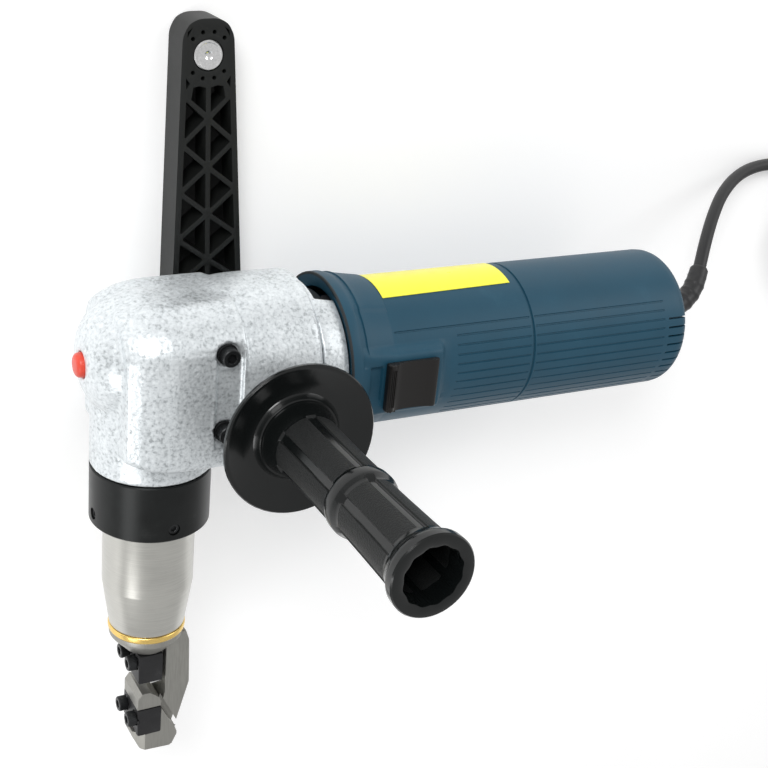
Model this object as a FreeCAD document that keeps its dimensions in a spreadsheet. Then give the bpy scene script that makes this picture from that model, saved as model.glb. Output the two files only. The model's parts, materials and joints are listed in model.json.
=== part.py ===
import FreeCAD, Part
import math
import os
import Sketcher

# Electric nibbler with a turning head, a side handle and a support bar.
#
# The pieces are drawn in the tool's frame: X runs along the motor axis towards the cord, Z runs up the
# head axis away from the blades, Y points away from the side handle. The two axes cross at the origin.
# The finished tool lies on its support bar, so every piece is then laid over by LYING at the end:
# row X = tool X, row Y = tool Z, row Z = -tool Y, with the surface that it lies on at row Z = 0.

V = FreeCAD.Vector
Z_AXIS = V(0, 0, 1)

# Driving dimensions in millimetres: alias, value, meaning.
DIMENSIONS = [
    ("motor_radius", 40.3, "outside radius of the motor housing"),
    ("motor_wall", 3.0, "wall of both housing shells"),
    ("housing_front", 91.0, "front rim of the motor housing, along X"),
    ("shell_split", 205.5, "joint between motor housing and rear cover"),
    ("housing_rear", 315.5, "rear end of the rear cover"),
    ("collar_radius", 45.2, "radius of the flared collar at the front of the motor housing"),
    ("lobe_radius", 34.0, "radius of the gear case's round nose"),
    ("lobe_height", 12.0, "height of the nose's axis above the motor axis"),
    ("drum_radius", 43.0, "radius of the gear case's rear drum"),
    ("drum_height", 6.0, "height of the drum's axis above the motor axis"),
    ("cavity_radius", 40.0, "radius of the gear chamber"),
    ("case_nose", -37.5, "front face of the gear case"),
    ("case_rear", 76.0, "rear face of the gear case"),
    ("case_half_width", 42.0, "half width of the block round the gears"),
    ("case_floor", -46.0, "underside of the keel under the gears"),
    ("keel_half_width", 24.0, "half width of the keel"),
    ("neck_radius", 31.5, "radius of the neck and of the ring nut"),
    ("neck_end", -48.1, "lower end of the neck"),
    ("spigot_radius", 28.5, "threaded spigot under the neck"),
    ("spigot_end", -62.0, "lower end of the spigot"),
    ("nut_end", -80.3, "lower face of the ring nut"),
    ("sleeve_radius", 24.3, "outside radius of the steel sleeve"),
    ("taper_start", -119.0, "where the sleeve starts to narrow"),
    ("sleeve_end", -145.7, "lower end of the sleeve"),
    ("sleeve_end_radius", 20.4, "radius at the lower end of the sleeve"),
    ("ring_end", -149.5, "lower face of the brass ring"),
    ("foot_disc_end", -158.0, "lower face of the foot's round top"),
    ("foot_end", -237.0, "lower end of the foot"),
    ("foot_half_width", 11.5, "half width of the foot along Y"),
    ("foot_back", 24.5, "back of the foot along X"),
    ("ram_radius", 8.0, "radius of both ram rods"),
    ("fit_gap", 0.05, "radial clearance of a running fit"),
    ("crank_height", -21.25, "height of the crank shaft below the motor axis"),
    ("crank_throw", 2.5, "throw of the crank, half the stroke"),
    ("roller_radius", 7.0, "radius of the crank roller"),
    ("shaft_radius", 4.0, "radius of the armature shaft"),
    ("crank_radius", 6.0, "radius of the crank shaft"),
    ("handle_x", 50.0, "place of the side handle's axis along X"),
    ("handle_z", -10.0, "place of the side handle's axis along Z"),
    ("disc_radius", 40.0, "radius of the hand guard"),
    ("disc_front", -72.2, "front rim of the hand guard along Y"),
    ("grip_end", -201.6, "outer end of the side handle along Y"),
    ("grip_radius", 17.0, "radius of the grip"),
    ("lip_radius", 20.3, "radius of the grip's end lip"),
    ("stud_radius", 7.0, "radius of the side handle's thread"),
    ("bar_front", 52.0, "face of the support bar towards the tool, along Y"),
    ("bar_back", 72.0, "face of the support bar that the tool lies on"),
    ("bar_low_half", 21.5, "half width of the bar at its bolt"),
    ("bar_top_half", 13.9, "half width of the bar at its free end"),
    ("bar_length", 178.0, "from the bolt to the free end of the bar"),
    ("bar_stud_at", 159.5, "from the bolt to the stud of the bar"),
    ("bar_stud_radius", 7.85, "radius of the bar's stud"),
    ("bar_first_node", 23.9, "from the bolt to the first crossing of the bar's ribs"),
    ("bar_cell", 25.7, "from one crossing of the ribs to the next"),
    ("bolt_radius", 5.0, "radius of the bar's bolt"),
    ("cord_diameter", 8.0, "diameter of the mains cord"),
]

LEAN = 2.0                      # lean of the support bar towards the nose, degrees
BUTTON_Z = 10.4                 # height of the lock button above the motor axis
SCREW_X = 23.5                  # the gear case's side screws, along X
SCREW_HEIGHTS = (25.0, -16.5)   # and above the motor axis
FLANGE_SCREW_RADIUS = 34.8      # radius of the four screws in the bearing flange
BAR_WALL = 3.2                  # side walls of the support bar
BAR_RIB = 2.6                   # its ribs
CENTRE = V(137.5, -34.5, 72.0)  # middle of the tool over the surface, as row X, row Y and height

doc = FreeCAD.newDocument("Nibbler")
sheet = doc.addObject("Spreadsheet::Sheet", "Sheet")
nodes = {}


class Size:
    """A length with its value now and the sheet expression that it comes from."""

    def __init__(self, value, text):
        self.value = value
        self.text = text

    def __add__(self, other):
        return joined(self, "+", other, value_of(self) + value_of(other))

    def __radd__(self, other):
        return joined(other, "+", self, value_of(other) + value_of(self))

    def __sub__(self, other):
        return joined(self, "-", other, value_of(self) - value_of(other))

    def __rsub__(self, other):
        return joined(other, "-", self, value_of(other) - value_of(self))

    def __mul__(self, other):
        return joined(self, "*", other, value_of(self) * value_of(other))

    def __rmul__(self, other):
        return joined(other, "*", self, value_of(other) * value_of(self))

    def __neg__(self):
        return Size(-self.value, f"-({self.text})")


def value_of(length):
    """The number that a plain number or a Size stands for."""
    return length.value if isinstance(length, Size) else float(length)


def text_of(length):
    return f"({length.text})" if isinstance(length, Size) else f"({length})"


def joined(left, sign, right, value):
    return Size(value, f"{text_of(left)} {sign} {text_of(right)}")


for row, (alias, number, meaning) in enumerate(DIMENSIONS, start=1):
    sheet.set(f"A{row}", str(number))
    sheet.setAlias(f"A{row}", alias)
    sheet.set(f"B{row}", meaning)
doc.recompute()
d = {alias: Size(number, f"Sheet.{alias}") for alias, number, _ in DIMENSIONS}


def bind(thing, name, length):
    """Sets one property of a feature to a plain number or to a sheet expression."""
    if isinstance(length, Size):
        thing.setExpression(name, length.text)
    else:
        setattr(thing, name, float(length))


def along(direction, origin=(0, 0, 0), turn=0.0):
    """A placement whose local Z lies along direction; turn is about that axis, in degrees."""
    base = V(*[value_of(c) for c in origin])
    point = FreeCAD.Rotation(Z_AXIS, V(*direction))
    return FreeCAD.Placement(base, point.multiply(FreeCAD.Rotation(Z_AXIS, turn)))


def side_on(start):
    """A placement that stands an (X, Z) outline upright, padded from Y = start to the near side."""
    axes = FreeCAD.Rotation(V(1, 0, 0), V(0, 0, 1), V(0, -1, 0), "XYZ")
    return FreeCAD.Placement(V(0, value_of(start), 0), axes)


def around(radius, first):
    """Four points a quarter turn apart on a circle, the first at an angle in degrees."""
    return [(radius * math.cos(math.radians(first + 90 * k)),
             radius * math.sin(math.radians(first + 90 * k))) for k in range(4)]


def new_sketch(body, name, role):
    plane = [o for o in body.Origin.OriginFeatures if o.Role == role][0]
    sketch = body.newObject("Sketcher::SketchObject", name)
    sketch.AttachmentSupport = [(plane, "")]
    sketch.MapMode = "FlatFace"
    return sketch


def pin_down(sketch, edge, point, kind, axis_value):
    """Fixes one coordinate of a sketch point, bound to the sheet where it comes from there."""
    row = sketch.addConstraint(Sketcher.Constraint(kind, -1, 1, edge, point, value_of(axis_value)))
    if isinstance(axis_value, Size):
        sketch.setExpression(f"Constraints[{row}]", axis_value.text)


def draw_outline(sketch, points):
    """Draws a closed outline of straight edges through points, each fixed from the sketch's origin."""
    first = sketch.GeometryCount
    count = len(points)
    places = [V(value_of(x), value_of(y), 0) for x, y in points]
    for i in range(count):
        sketch.addGeometry(Part.LineSegment(places[i], places[(i + 1) % count]), False)
    for i in range(count):
        sketch.addConstraint(Sketcher.Constraint("Coincident", first + i, 2, first + (i + 1) % count, 1))
    for i, (x, y) in enumerate(points):
        pin_down(sketch, first + i, 1, "DistanceX", x)
        pin_down(sketch, first + i, 1, "DistanceY", y)


def draw_circle(sketch, x, y, radius):
    edge = sketch.addGeometry(Part.Circle(V(value_of(x), value_of(y), 0), Z_AXIS, value_of(radius)),
                              False)
    pin_down(sketch, edge, 3, "DistanceX", x)
    pin_down(sketch, edge, 3, "DistanceY", y)
    row = sketch.addConstraint(Sketcher.Constraint("Radius", edge, value_of(radius)))
    if isinstance(radius, Size):
        sketch.setExpression(f"Constraints[{row}]", radius.text)


def turned(label, profile, place=None):
    """A body of revolution: profile is (radius, height) round the local Z axis."""
    body = doc.addObject("PartDesign::Body", label)
    sketch = new_sketch(body, f"{label}_profile", "XZ_Plane")
    draw_outline(sketch, profile)
    turn = body.newObject("PartDesign::Revolution", f"{label}_turn")
    turn.Profile = sketch
    turn.ReferenceAxis = (sketch, ["V_Axis"])
    turn.Angle = 360
    if place is not None:
        body.Placement = place
    return body


def prism(label, outline, length, place=None, holes=()):
    """A padded body: a straight-edged outline with round holes, length thick along local Z."""
    body = doc.addObject("PartDesign::Body", label)
    sketch = new_sketch(body, f"{label}_outline", "XY_Plane")
    if outline:
        draw_outline(sketch, outline)
    for x, y, radius in holes:
        draw_circle(sketch, x, y, radius)
    pad = body.newObject("PartDesign::Pad", f"{label}_pad")
    pad.Profile = sketch
    bind(pad, "Length", length)
    if place is not None:
        body.Placement = place
    return body


def rod(label, radius, length, place):
    cylinder = doc.addObject("Part::Cylinder", label)
    bind(cylinder, "Radius", radius)
    bind(cylinder, "Height", length)
    cylinder.Placement = place
    return cylinder


def block(label, corner, size):
    """A box from its lowest corner and its size along X, Y and Z."""
    box = doc.addObject("Part::Box", label)
    for name, length in zip(("Length", "Width", "Height"), size):
        bind(box, name, length)
    for name, length in zip("xyz", corner):
        bind_place(box, name, length)
    return box


def bind_place(thing, axis, length):
    if isinstance(length, Size):
        thing.setExpression(f"Placement.Base.{axis}", length.text)
    else:
        base = thing.Placement.Base
        setattr(base, axis, float(length))
        thing.Placement.Base = base


def fuse(label, shapes):
    union = doc.addObject("Part::MultiFuse", label)
    union.Shapes = shapes
    return union


def cut(label, base, tools):
    """base less one tool, or less the union of several."""
    tool = tools[0] if len(tools) == 1 else fuse(f"{label}_tools", tools)
    result = doc.addObject("Part::Cut", label)
    result.Base = base
    result.Tool = tool
    return result


def group(label, shapes):
    """Identical loose pieces that share one node."""
    compound = doc.addObject("Part::Compound", label)
    compound.Links = shapes
    return compound


def keep(thing):
    """Marks a finished sub-part; its label names its node."""
    nodes[thing.Label] = thing
    return thing


def cap_screw(label, radius, length, place):
    """A socket head cap screw: the head is two radii across and stands on local z = 0, pointing up."""
    head = radius * 1.7
    tall = radius * 2
    body = turned(f"{label}_body", [(0, -length), (radius, -length), (radius, 0), (head, 0),
                                    (head, tall - 0.4), (head - 0.4, tall), (0, tall)])
    socket = radius * 0.9
    corners = [(socket * math.cos(math.radians(60 * i)), socket * math.sin(math.radians(60 * i)))
               for i in range(6)]
    hexagon = prism(f"{label}_socket", corners, radius + 1, along((0, 0, 1), (0, 0, radius)))
    screw = cut(label, body, [hexagon])
    screw.Placement = place
    return screw


def tooth_outline(teeth, pitch_radius, module, fill):
    """Corners of a spur gear with straight-flanked teeth; fill is the tooth's share of the pitch."""
    tip = pitch_radius + 0.85 * module
    root = pitch_radius - 1.05 * module
    step = 2 * math.pi / teeth
    corners = []
    for i in range(teeth):
        for radius, share in ((root, -0.34), (tip, -0.5 * fill + 0.1), (tip, 0.5 * fill - 0.1), (root, 0.34)):
            angle = step * (i + share)
            corners.append((radius * math.cos(angle), radius * math.sin(angle)))
    return corners


# ---------------------------------------------------------------- gear case and its covers

def gear_case():
    """Cast aluminium case: round nose, rear drum, gear block, bosses, neck and threaded spigot."""
    nose = d["case_nose"]
    rear = d["case_rear"]
    lobe_z = d["lobe_height"]
    lobe = turned("case_lobe", [(0, 0), (10, 0), (15, 1), (20, 3.5), (25, 7.5), (30, 15.5),
                                (d["lobe_radius"], 27.5), (d["lobe_radius"], 80), (0, 80)],
                  along((1, 0, 0), (nose, 0, lobe_z)))
    drum = turned("case_drum", [(0, 36), (d["lobe_radius"], 36), (d["drum_radius"] - 1.5, 44),
                                (d["drum_radius"], 47), (d["drum_radius"], rear), (0, rear)],
                  along((1, 0, 0), (0, 0, d["drum_height"])))
    under = rod("case_under", d["drum_radius"] - 0.5, rear - 36, along((1, 0, 0), (36, 0, 0)))
    half = d["case_half_width"]
    block_low = -36.5
    shoulder = [(-half, block_low), (half, block_low), (half, 28), (34, 39), (21, 45.5), (-21, 45.5),
                (-34, 39), (-half, 28)]
    gear_block = prism("case_block", shoulder, 41, along((1, 0, 0), (-8, 0, 0), 90))
    cheek = prism("case_cheek", [(-38.5, -33), (38.5, -33), (38.5, 24), (30, 36), (-30, 36), (-38.5, 24)],
                  14, along((1, 0, 0), (-21, 0, 0), 90))
    floor = d["case_floor"]
    keel = prism("case_keel", [(-27, -24), (-18, floor + 6), (-8, floor), (66, floor), (rear, floor + 9),
                               (rear, -20), (-20, -20)], d["keel_half_width"] * 2,
                 side_on(d["keel_half_width"]))
    neck = turned("case_neck", [(0, lobe_z), (d["neck_radius"], lobe_z),
                                (d["neck_radius"], d["neck_end"]), (d["spigot_radius"], d["neck_end"]),
                                (d["spigot_radius"], d["spigot_end"]), (0, d["spigot_end"])])
    front_room = turned("case_front_room", [(0, 0), (8, 0), (14, 0.5), (22, 5), (27, 13), (29.5, 24),
                                            (29.5, 53), (0, 53)], along((1, 0, 0), (-29, 0, lobe_z)))
    rear_room = rod("case_rear_room", d["cavity_radius"], rear - 33, along((1, 0, 0), (34, 0, 0)))
    throat = rod("case_throat", 25, 56, along((0, 0, -1), (0, 0, 12)))
    bush_seat = rod("case_bush_seat", 20, 40, along((0, 0, -1), (0, 0, -30)))
    hollow = cut("case_hollow", fuse("case_solid", [lobe, drum, under, gear_block, cheek, keel, neck]),
                 [front_room, rear_room, throat, bush_seat])
    side_x = d["handle_x"]
    side_z = d["handle_z"]
    far_boss = rod("case_far_boss", 15, d["bar_front"] - 20.3, along((0, 1, 0), (side_x, 20, side_z)))
    near_boss = rod("case_near_boss", 14, 27, along((0, -1, 0), (side_x, -20, side_z)))
    nose_boss = rod("case_nose_boss", 9.5, 17, along((1, 0, 0), (-33, 0, BUTTON_Z)))
    near_thread = rod("case_near_thread", d["stud_radius"] + 0.05, 40,
                      along((0, -1, 0), (side_x, -20.5, side_z)))
    far_thread = rod("case_far_thread", d["bolt_radius"] + 0.05, 40,
                     along((0, 1, 0), (side_x, 20.5, side_z)))
    bearing_seat = rod("case_bearing_seat", 13.02, 12, along((1, 0, 0), (23, 0, d["crank_height"])))
    button_hole = rod("case_button_hole", 6.7, 18, along((1, 0, 0), (-40, 0, BUTTON_Z)))
    pin_hole = rod("case_pin_hole", 3.0, 55, along((1, 0, 0), (-40, 0, BUTTON_Z)))
    threads = [rod(f"case_screw_seat_{i}", 3.02, 20, along((0, 1, 0), (SCREW_X, -46, z)))
               for i, z in enumerate(SCREW_HEIGHTS)]
    notches = [block(f"case_screw_notch_{i}", (SCREW_X - 6, -50, z - 6), (20, 9.5, 12))
               for i, z in enumerate(SCREW_HEIGHTS)]
    return keep(cut("gear_case", fuse("case_with_bosses", [hollow, near_boss, far_boss, nose_boss]),
                    [near_thread, far_thread, bearing_seat, button_hole, pin_hole] + threads + notches))


def bearing_flange():
    """Cast plate between the gear case and the motor: both bearings and the air outlets."""
    plate = turned("flange_plate", [(0, 68), (39.8, 68), (39.8, 76.3), (43.5, 76.3), (43.5, 80),
                                    (41.5, 90.7), (32, 90.7), (32, 84), (16, 84), (16, 89), (0, 89)],
                   along((1, 0, 0)))
    tools = [rod("flange_shaft_hole", 5.5, 20, along((1, 0, 0), (60, 0, 0))),
             rod("flange_motor_seat", 11.02, 20, along((1, 0, 0), (80, 0, 0))),
             rod("flange_crank_seat", 11.02, 9, along((1, 0, 0), (66, 0, d["crank_height"])))]
    tools += [rod(f"flange_thread_{i}", 1.52, 12, along((1, 0, 0), (79.4, y, z)))
              for i, (y, z) in enumerate(around(FLANGE_SCREW_RADIUS, 45))]
    outlets = [(-12, 30, 24, 20), (-12, -50, 24, 20), (-50, -8, 20, 16), (30, -8, 20, 16)]
    tools += [block(f"flange_outlet_{i}", (81.5, y, z), (7.5, w, t)) for i,
              (y, z, w, t) in enumerate(outlets)]
    return keep(cut("bearing_flange", plate, tools))


def case_screws():
    """Cap screws in the side of the gear case, sunk in their notches."""
    return keep(group("gear_case_screws", [
        cap_screw(f"case_screw_{i}", 3.0, 14, along((0, -1, 0), (SCREW_X, -40.55, z)))
        for i, z in enumerate(SCREW_HEIGHTS)]))


def lock_parts():
    """Red nose button, the pin behind it and its spring."""
    place = along((-1, 0, 0), (-32, 0, BUTTON_Z))
    keep(turned("lock_button", [(0, 0), (6.4, 0), (6.4, 7.2), (5.0, 8.4), (0, 8.8)], place))
    keep(turned("lock_pin", [(0, 0), (2.9, 0), (2.9, -19), (2.2, -20), (0, -20)], place))
    keep(turned("lock_spring", [(3.6, -3.3), (5.4, -3.3), (5.4, -9.9), (3.6, -9.9)], place))


# ---------------------------------------------------------------- head

def ring_nut():
    """Black nut that clamps the head to the neck, with tommy-bar holes round it."""
    outer = d["neck_radius"]
    top = d["neck_end"] - 0.2
    end = d["nut_end"]
    bore = d["spigot_radius"] + 0.3
    lip = d["sleeve_radius"] + 0.3
    body = turned("nut_body", [(bore, top), (outer, top), (outer, end + 1), (outer - 1, end), (lip, end),
                               (lip, -76), (bore, -76)])
    spots = around(1, 4)
    holes = [rod(f"nut_hole_{i}", 3.2, 8, along((x, y, 0), (27 * x, 27 * y, -73)))
             for i, (x, y) in enumerate(spots)]
    screws = [rod(f"nut_screw_{i}", 3.15, 2.0, along((x, y, 0), (28.85 * x, 28.85 * y, -73)))
              for i, (x, y) in enumerate(spots)]
    keep(cut("ring_nut", body, holes))
    keep(group("ring_nut_set_screws", screws))


def head_tube():
    """Steel sleeve, brass ring and the guide bush pressed into the sleeve."""
    end = d["sleeve_end"]
    radius = d["sleeve_radius"]
    keep(turned("tool_sleeve", [(12, -64.2), (28.3, -64.2), (28.3, -75.7), (radius, -75.7),
                                (radius, d["taper_start"]), (d["sleeve_end_radius"], end), (12, end)]))
    keep(turned("sleeve_bush", [(d["ram_radius"] + d["fit_gap"], -118), (11.98, -118), (11.98, end),
                                (d["ram_radius"] + d["fit_gap"], end)]))
    keep(turned("brass_ring", [(8.4, end - 0.05), (20.9, end - 0.05), (20.9, d["ring_end"]),
                               (8.4, d["ring_end"])]))


def cutter_foot():
    """C-shaped steel foot: round top, back arm and the base under the lower blade."""
    half = d["foot_half_width"]
    top = d["ring_end"] - 0.05
    back = d["foot_back"]
    disc = turned("foot_disc", [(0, top), (d["sleeve_end_radius"], top), (d["sleeve_end_radius"], -155),
                                (18.5, d["foot_disc_end"]), (0, d["foot_disc_end"])])
    arm = prism("foot_arm", [(9.5, top - 2), (20, top - 2), (back, d["foot_disc_end"]), (back, -196),
                             (19.5, -224), (17, d["foot_end"]), (-7, d["foot_end"]), (-9, -231),
                             (-9, -216.3), (9.5, -216.3)], half * 2, side_on(half))
    bore = rod("foot_bore", 8.4, 30, along((0, 0, -1), (0, 0, -140)))
    return keep(cut("cutter_foot", fuse("foot_solid", [disc, arm]), [bore]))


def blade_holder(label, top, bottom, spread, screw_z):
    """A black block with two clearance holes; its screws stand in front, facing the nose side."""
    body = block(f"{label}_block", (-8, -12, bottom), (14, 24, value_of(top) - bottom))
    holes = [rod(f"{label}_hole_{i}", 2.52, 12, along((1, 0, 0), (-9, y, screw_z)))
             for i, y in enumerate((-spread, spread))]
    keep(cut(label, body, holes))


def blades():
    """Two holders, their blades and the cap screws that clamp them."""
    blade_holder("upper_blade_holder", -163.0, -181.0, 6.5, -169.0)
    blade_holder("lower_blade_holder", -195.5, -216.3, 7.5, -206.0)
    keep(block("upper_blade", (0, -9, -184.0), (6, 18, 3.0)))
    keep(prism("lower_blade", [(-8, -195.5), (6, -195.5), (9.2, -192.8), (-0.15, -189.4), (-0.15, -188.5),
                               (-5.5, -188.5), (-8, -192)], 18, side_on(9)))
    for label, spread, height in (("upper_blade_screws", 6.5, -169.0), ("lower_blade_screws", 7.5, -206.0)):
        keep(group(label, [cap_screw(f"{label}_{i}", 2.5, 10.5, along((-1, 0, 0), (-8.02, y, height)))
                           for i, y in enumerate((-spread, spread))]))


# ---------------------------------------------------------------- drive

def ram():
    """Yoke with its rod, the lower rod in the turning head, and the bush in the neck."""
    radius = d["ram_radius"]
    middle = d["crank_height"] + d["crank_throw"]
    reach = value_of(d["roller_radius"]) + 2 * value_of(d["crank_throw"]) + 0.4
    frame = block("yoke_frame", (-7, -14.5, middle - (reach + 4)), (15, 29, 2 * (reach + 4)))
    window = block("yoke_window", (-8, -10.5, middle - reach), (20, 21, 2 * reach))
    stem = rod("yoke_stem", radius, 43, along((0, 0, -1), (0, 0, -35)))
    keep(fuse("ram_yoke", [cut("yoke_ring", frame, [window]), cut("yoke_stem_end", stem, [
        block("yoke_stem_trim", (-9, -9, -35.0), (18, 18, 2))])]))
    keep(turned("ram_guide_bush", [(radius + d["fit_gap"], -46), (19.98, -46), (19.98, d["spigot_end"]),
                                   (radius + d["fit_gap"], d["spigot_end"])]))
    keep(rod("ram_lower", radius, 163 - 78.4, along((0, 0, -1), (0, 0, -78.4))))


def crank():
    """Crank shaft with its gear, roller and two ball bearings, below the motor axis."""
    height = d["crank_height"]
    place = along((1, 0, 0), (0, 0, height))
    radius = d["crank_radius"]
    shaft = turned("crank_body", [(0, 12), (9, 12), (9, 22), (radius, 22), (radius, 67.5), (4.9, 67.5),
                                  (4.9, 75), (0, 75)], place)
    pin = rod("crank_pin", 4, 20, along((1, 0, 0), (-7, 0, height + d["crank_throw"])))
    keep(fuse("crank_shaft", [shaft, pin]))
    keep(turned("crank_roller", [(4.02, -6), (d["roller_radius"], -6), (d["roller_radius"], 9),
                                 (4.02, 9)], along((1, 0, 0), (0, 0, height + d["crank_throw"]))))
    keep(prism("drive_gear", tooth_outline(26, 16.25, 1.25, 0.40), 12, along((1, 0, 0), (51, 0, height)),
               [(0, 0, radius + 0.02)]))
    ball_bearing("crank_front_bearing", radius + 0.03, 13.0, 24, 34, height)
    ball_bearing("crank_rear_bearing", 4.94, 11.0, 68, 75, height)


def ball_bearing(label, bore, outer, start, end, height):
    """A sealed bearing: two rings with a sunk seal between them on each face."""
    inner = bore + 2.2
    rim = outer - 2.0
    keep(turned(label, [(bore, start), (inner, start), (inner, start + 0.6), (rim, start + 0.6),
                        (rim, start), (outer, start), (outer, end), (rim, end), (rim, end - 0.6),
                        (inner, end - 0.6), (inner, end), (bore, end)], along((1, 0, 0), (0, 0, height))))


def motor():
    """Armature with pinion, fan and commutator, the stator round it and the brush gear."""
    axis = along((1, 0, 0))
    radius = d["shaft_radius"]
    shaft = turned("armature_rod", [(0, 66), (radius, 66), (radius, 208), (0, 208)], axis)
    pinion = prism("armature_pinion", tooth_outline(8, 5.0, 1.25, 0.40), 19,
                   along((1, 0, 0), (48, 0, 0), 22.5))
    keep(fuse("armature_shaft", [shaft, pinion]))
    bore = radius + 0.02
    keep(turned("armature_core", [(bore, 118), (20, 118), (20, 164), (bore, 164)], axis))
    keep(group("armature_windings", [
        turned(f"winding_{i}", [(bore, a), (13, a), (17.5, a + 3), (17.5, b), (bore, b)], axis)
        for i, (a, b) in enumerate(((108, 117.9), (164.1, 174)))]))
    keep(turned("commutator", [(bore, 176), (12, 176), (12, 190), (bore, 190)], axis))
    hub = turned("fan_hub", [(bore, 93.5), (9, 93.5), (9, 97), (33, 104), (33, 105.5), (bore, 105.5)],
                 axis)
    vanes = [block(f"fan_vane_{i}", (95, 8, -0.9), (9.5, 24, 1.8)) for i in range(9)]
    for i, vane in enumerate(vanes):
        turn = FreeCAD.Rotation(V(1, 0, 0), 40 * i)
        vane.setExpression("Placement.Base.x", None)
        vane.Placement = FreeCAD.Placement(V(0, 0, 0), turn).multiply(vane.Placement)
    keep(fuse("cooling_fan", [hub] + vanes))
    ball_bearing("motor_front_bearing", radius + 0.03, 11.0, 80, 87, 0)
    ball_bearing("motor_rear_bearing", radius + 0.03, 11.0, 197, 204, 0)
    ring = turned("stator_ring", [(20.8, 117), (36, 117), (36, 165), (20.8, 165)], axis)
    flats = [block(f"stator_flat_{i}", (110, y, -50), (70, 20, 100)) for i, y in enumerate((-51, 31))]
    keep(cut("stator_core", ring, flats))
    keep(group("field_coils", [
        fuse(f"coil_{s}", [cut(f"coil_body_{s}", block(f"coil_box_{s}", (107, -19, z), (68, 38, 8)),
                               [rod(f"coil_room_{s}", 22, 80, along((1, 0, 0), (100, 0, 0))),
                                block(f"coil_core_{s}", (116.8, -25, z - 1), (48.4, 50, 12))])])
        for s, z in (("up", 22), ("down", -30))]))
    keep(group("brush_holders", [
        cut(f"holder_{s}", block(f"holder_box_{s}", (176, -5, z), (14, 10, 20)),
            [block(f"holder_room_{s}", (178.5, -3.1, z - 1), (9, 6.2, 22))])
        for s, z in (("up", 15), ("down", -35))]))
    keep(group("carbon_brushes", [block(f"brush_{s}", (179, -3, z), (8, 6, 13)) for s,
                                  z in (("up", 12.1), ("down", -25.1))]))
    keep(group("brush_springs", [turned(f"brush_spring_{s}", [(1.6, 0), (2.7, 0), (2.7, 9), (1.6, 9)],
                                        along((0, 0, sign), (183, 0, sign * 25.2))) for s,
                                 sign in (("up", 1), ("down", -1))]))
    bridge = turned("bridge_disc", [(11.02, 197), (15, 197), (15, 200), (37.1, 200), (37.1, 203.5),
                                    (15, 203.5), (15, 204.5), (11.02, 204.5)], axis)
    keep(cut("bearing_bridge", bridge, [block("bridge_slot", (190, -38, -6), (20, 8, 12)),
                                        block("bridge_vent_up", (190, -9, 22), (20, 18, 9)),
                                        block("bridge_vent_down", (190, -9, -31), (20, 18, 9))]))


# ---------------------------------------------------------------- housing

def motor_housing():
    """Front shell of the motor housing: flared collar, switch pad and switch opening."""
    outer = d["motor_radius"]
    inner = outer - d["motor_wall"]
    front = d["housing_front"]
    split = d["shell_split"]
    collar = d["collar_radius"]
    shell = turned("housing_shell", [(inner, front), (collar - 1, front), (collar, front + 1),
                                     (collar, 96), (42.6, 104), (outer, 118), (outer, split - 1),
                                     (outer - 0.9, split - 1), (outer - 0.9, split - 0.1),
                                     (inner, split - 0.1)], along((1, 0, 0)))
    pad = prism("housing_switch_pad", [(98, -42.6), (147, -42.6), (155, -38), (155, -30), (98, -30)], 31,
                FreeCAD.Placement(V(0, 0, -18), FreeCAD.Rotation()))
    lining = rod("housing_lining", inner, 60, along((1, 0, 0), (97, 0, 0)))
    slot = block("housing_switch_slot", (106, -50, -6.2), (32, 20, 12.4))
    return keep(cut("motor_housing", fuse("housing_solid", [shell, cut("housing_pad", pad, [lining])]),
                    [slot]))


def rear_cover():
    """Rear shell of the housing with its air inlets and the cord hole."""
    outer = d["motor_radius"]
    inner = outer - d["motor_wall"]
    split = d["shell_split"]
    rear = d["housing_rear"]
    shell = turned("cover_shell", [(inner, split), (outer - 0.9, split), (outer - 0.9, split + 1),
                                   (outer, split + 1), (outer, rear - 9), (outer - 1.5, rear - 3.5),
                                   (outer - 5, rear), (0, rear), (0, rear - 3.5), (inner - 4, rear - 3.5),
                                   (inner, rear - 8)], along((1, 0, 0)))
    tools = [rod("cover_cord_hole", 7.0, 12, along((1, 0, 0), (rear - 8, 0, 0)))]
    for i in (0, 1, 2, 5, 6, 7, 8, 9, 12, 13):
        vent = block(f"cover_vent_{i}", (0, 20, -1.3), (9, 22, 2.6))
        turn = FreeCAD.Placement(V(0, 0, 0), FreeCAD.Rotation(V(1, 0, 0), 360 / 14 * (i + 0.5)))
        vent.Placement = turn.multiply(FreeCAD.Placement(V(value_of(rear) - 7, 20, -1.3),
                                                         FreeCAD.Rotation()))
        tools.append(vent)
    return keep(cut("rear_cover", shell, tools))


def switch_parts():
    """Slide switch button, its rod and the switch that the rod works."""
    pad = prism("slider_pad", [(111, -15.5), (141, -15.5), (141, 11), (111, 11)], 4.6,
                side_on(-42.9))
    stem = block("slider_stem", (118, -43.2, -5.5), (14, 6.5, 11))
    keep(fuse("switch_slider", [pad, stem]))
    keep(block("switch_rod", (120, -36.5, -2.5), (104, 3, 5)))
    keep(block("power_switch", (224.3, -36.0, -9), (32, 15, 18)))
    keep(rod("suppressor", 6.5, 24, along((1, 0, 0), (264, 12, 8))))
    keep(block("cord_clamp", (292, -11, -9.5), (8, 22, 5)))
    keep(group("cord_clamp_screws", [rod(f"clamp_screw_{i}", 1.8, 5, along((0, 0, 1), (296, y, -14.6)))
                                     for i, y in enumerate((-8, 8))]))


def housing_screws():
    """Screws that stand in the bearing flange and hold the motor housing to it."""
    return keep(group("housing_screws", [rod(f"housing_screw_{i}", 1.5, 11, along((1, 0, 0), (79.5, y, z)))
                                         for i, (y, z) in enumerate(around(FLANGE_SCREW_RADIUS, 45))]))


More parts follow.
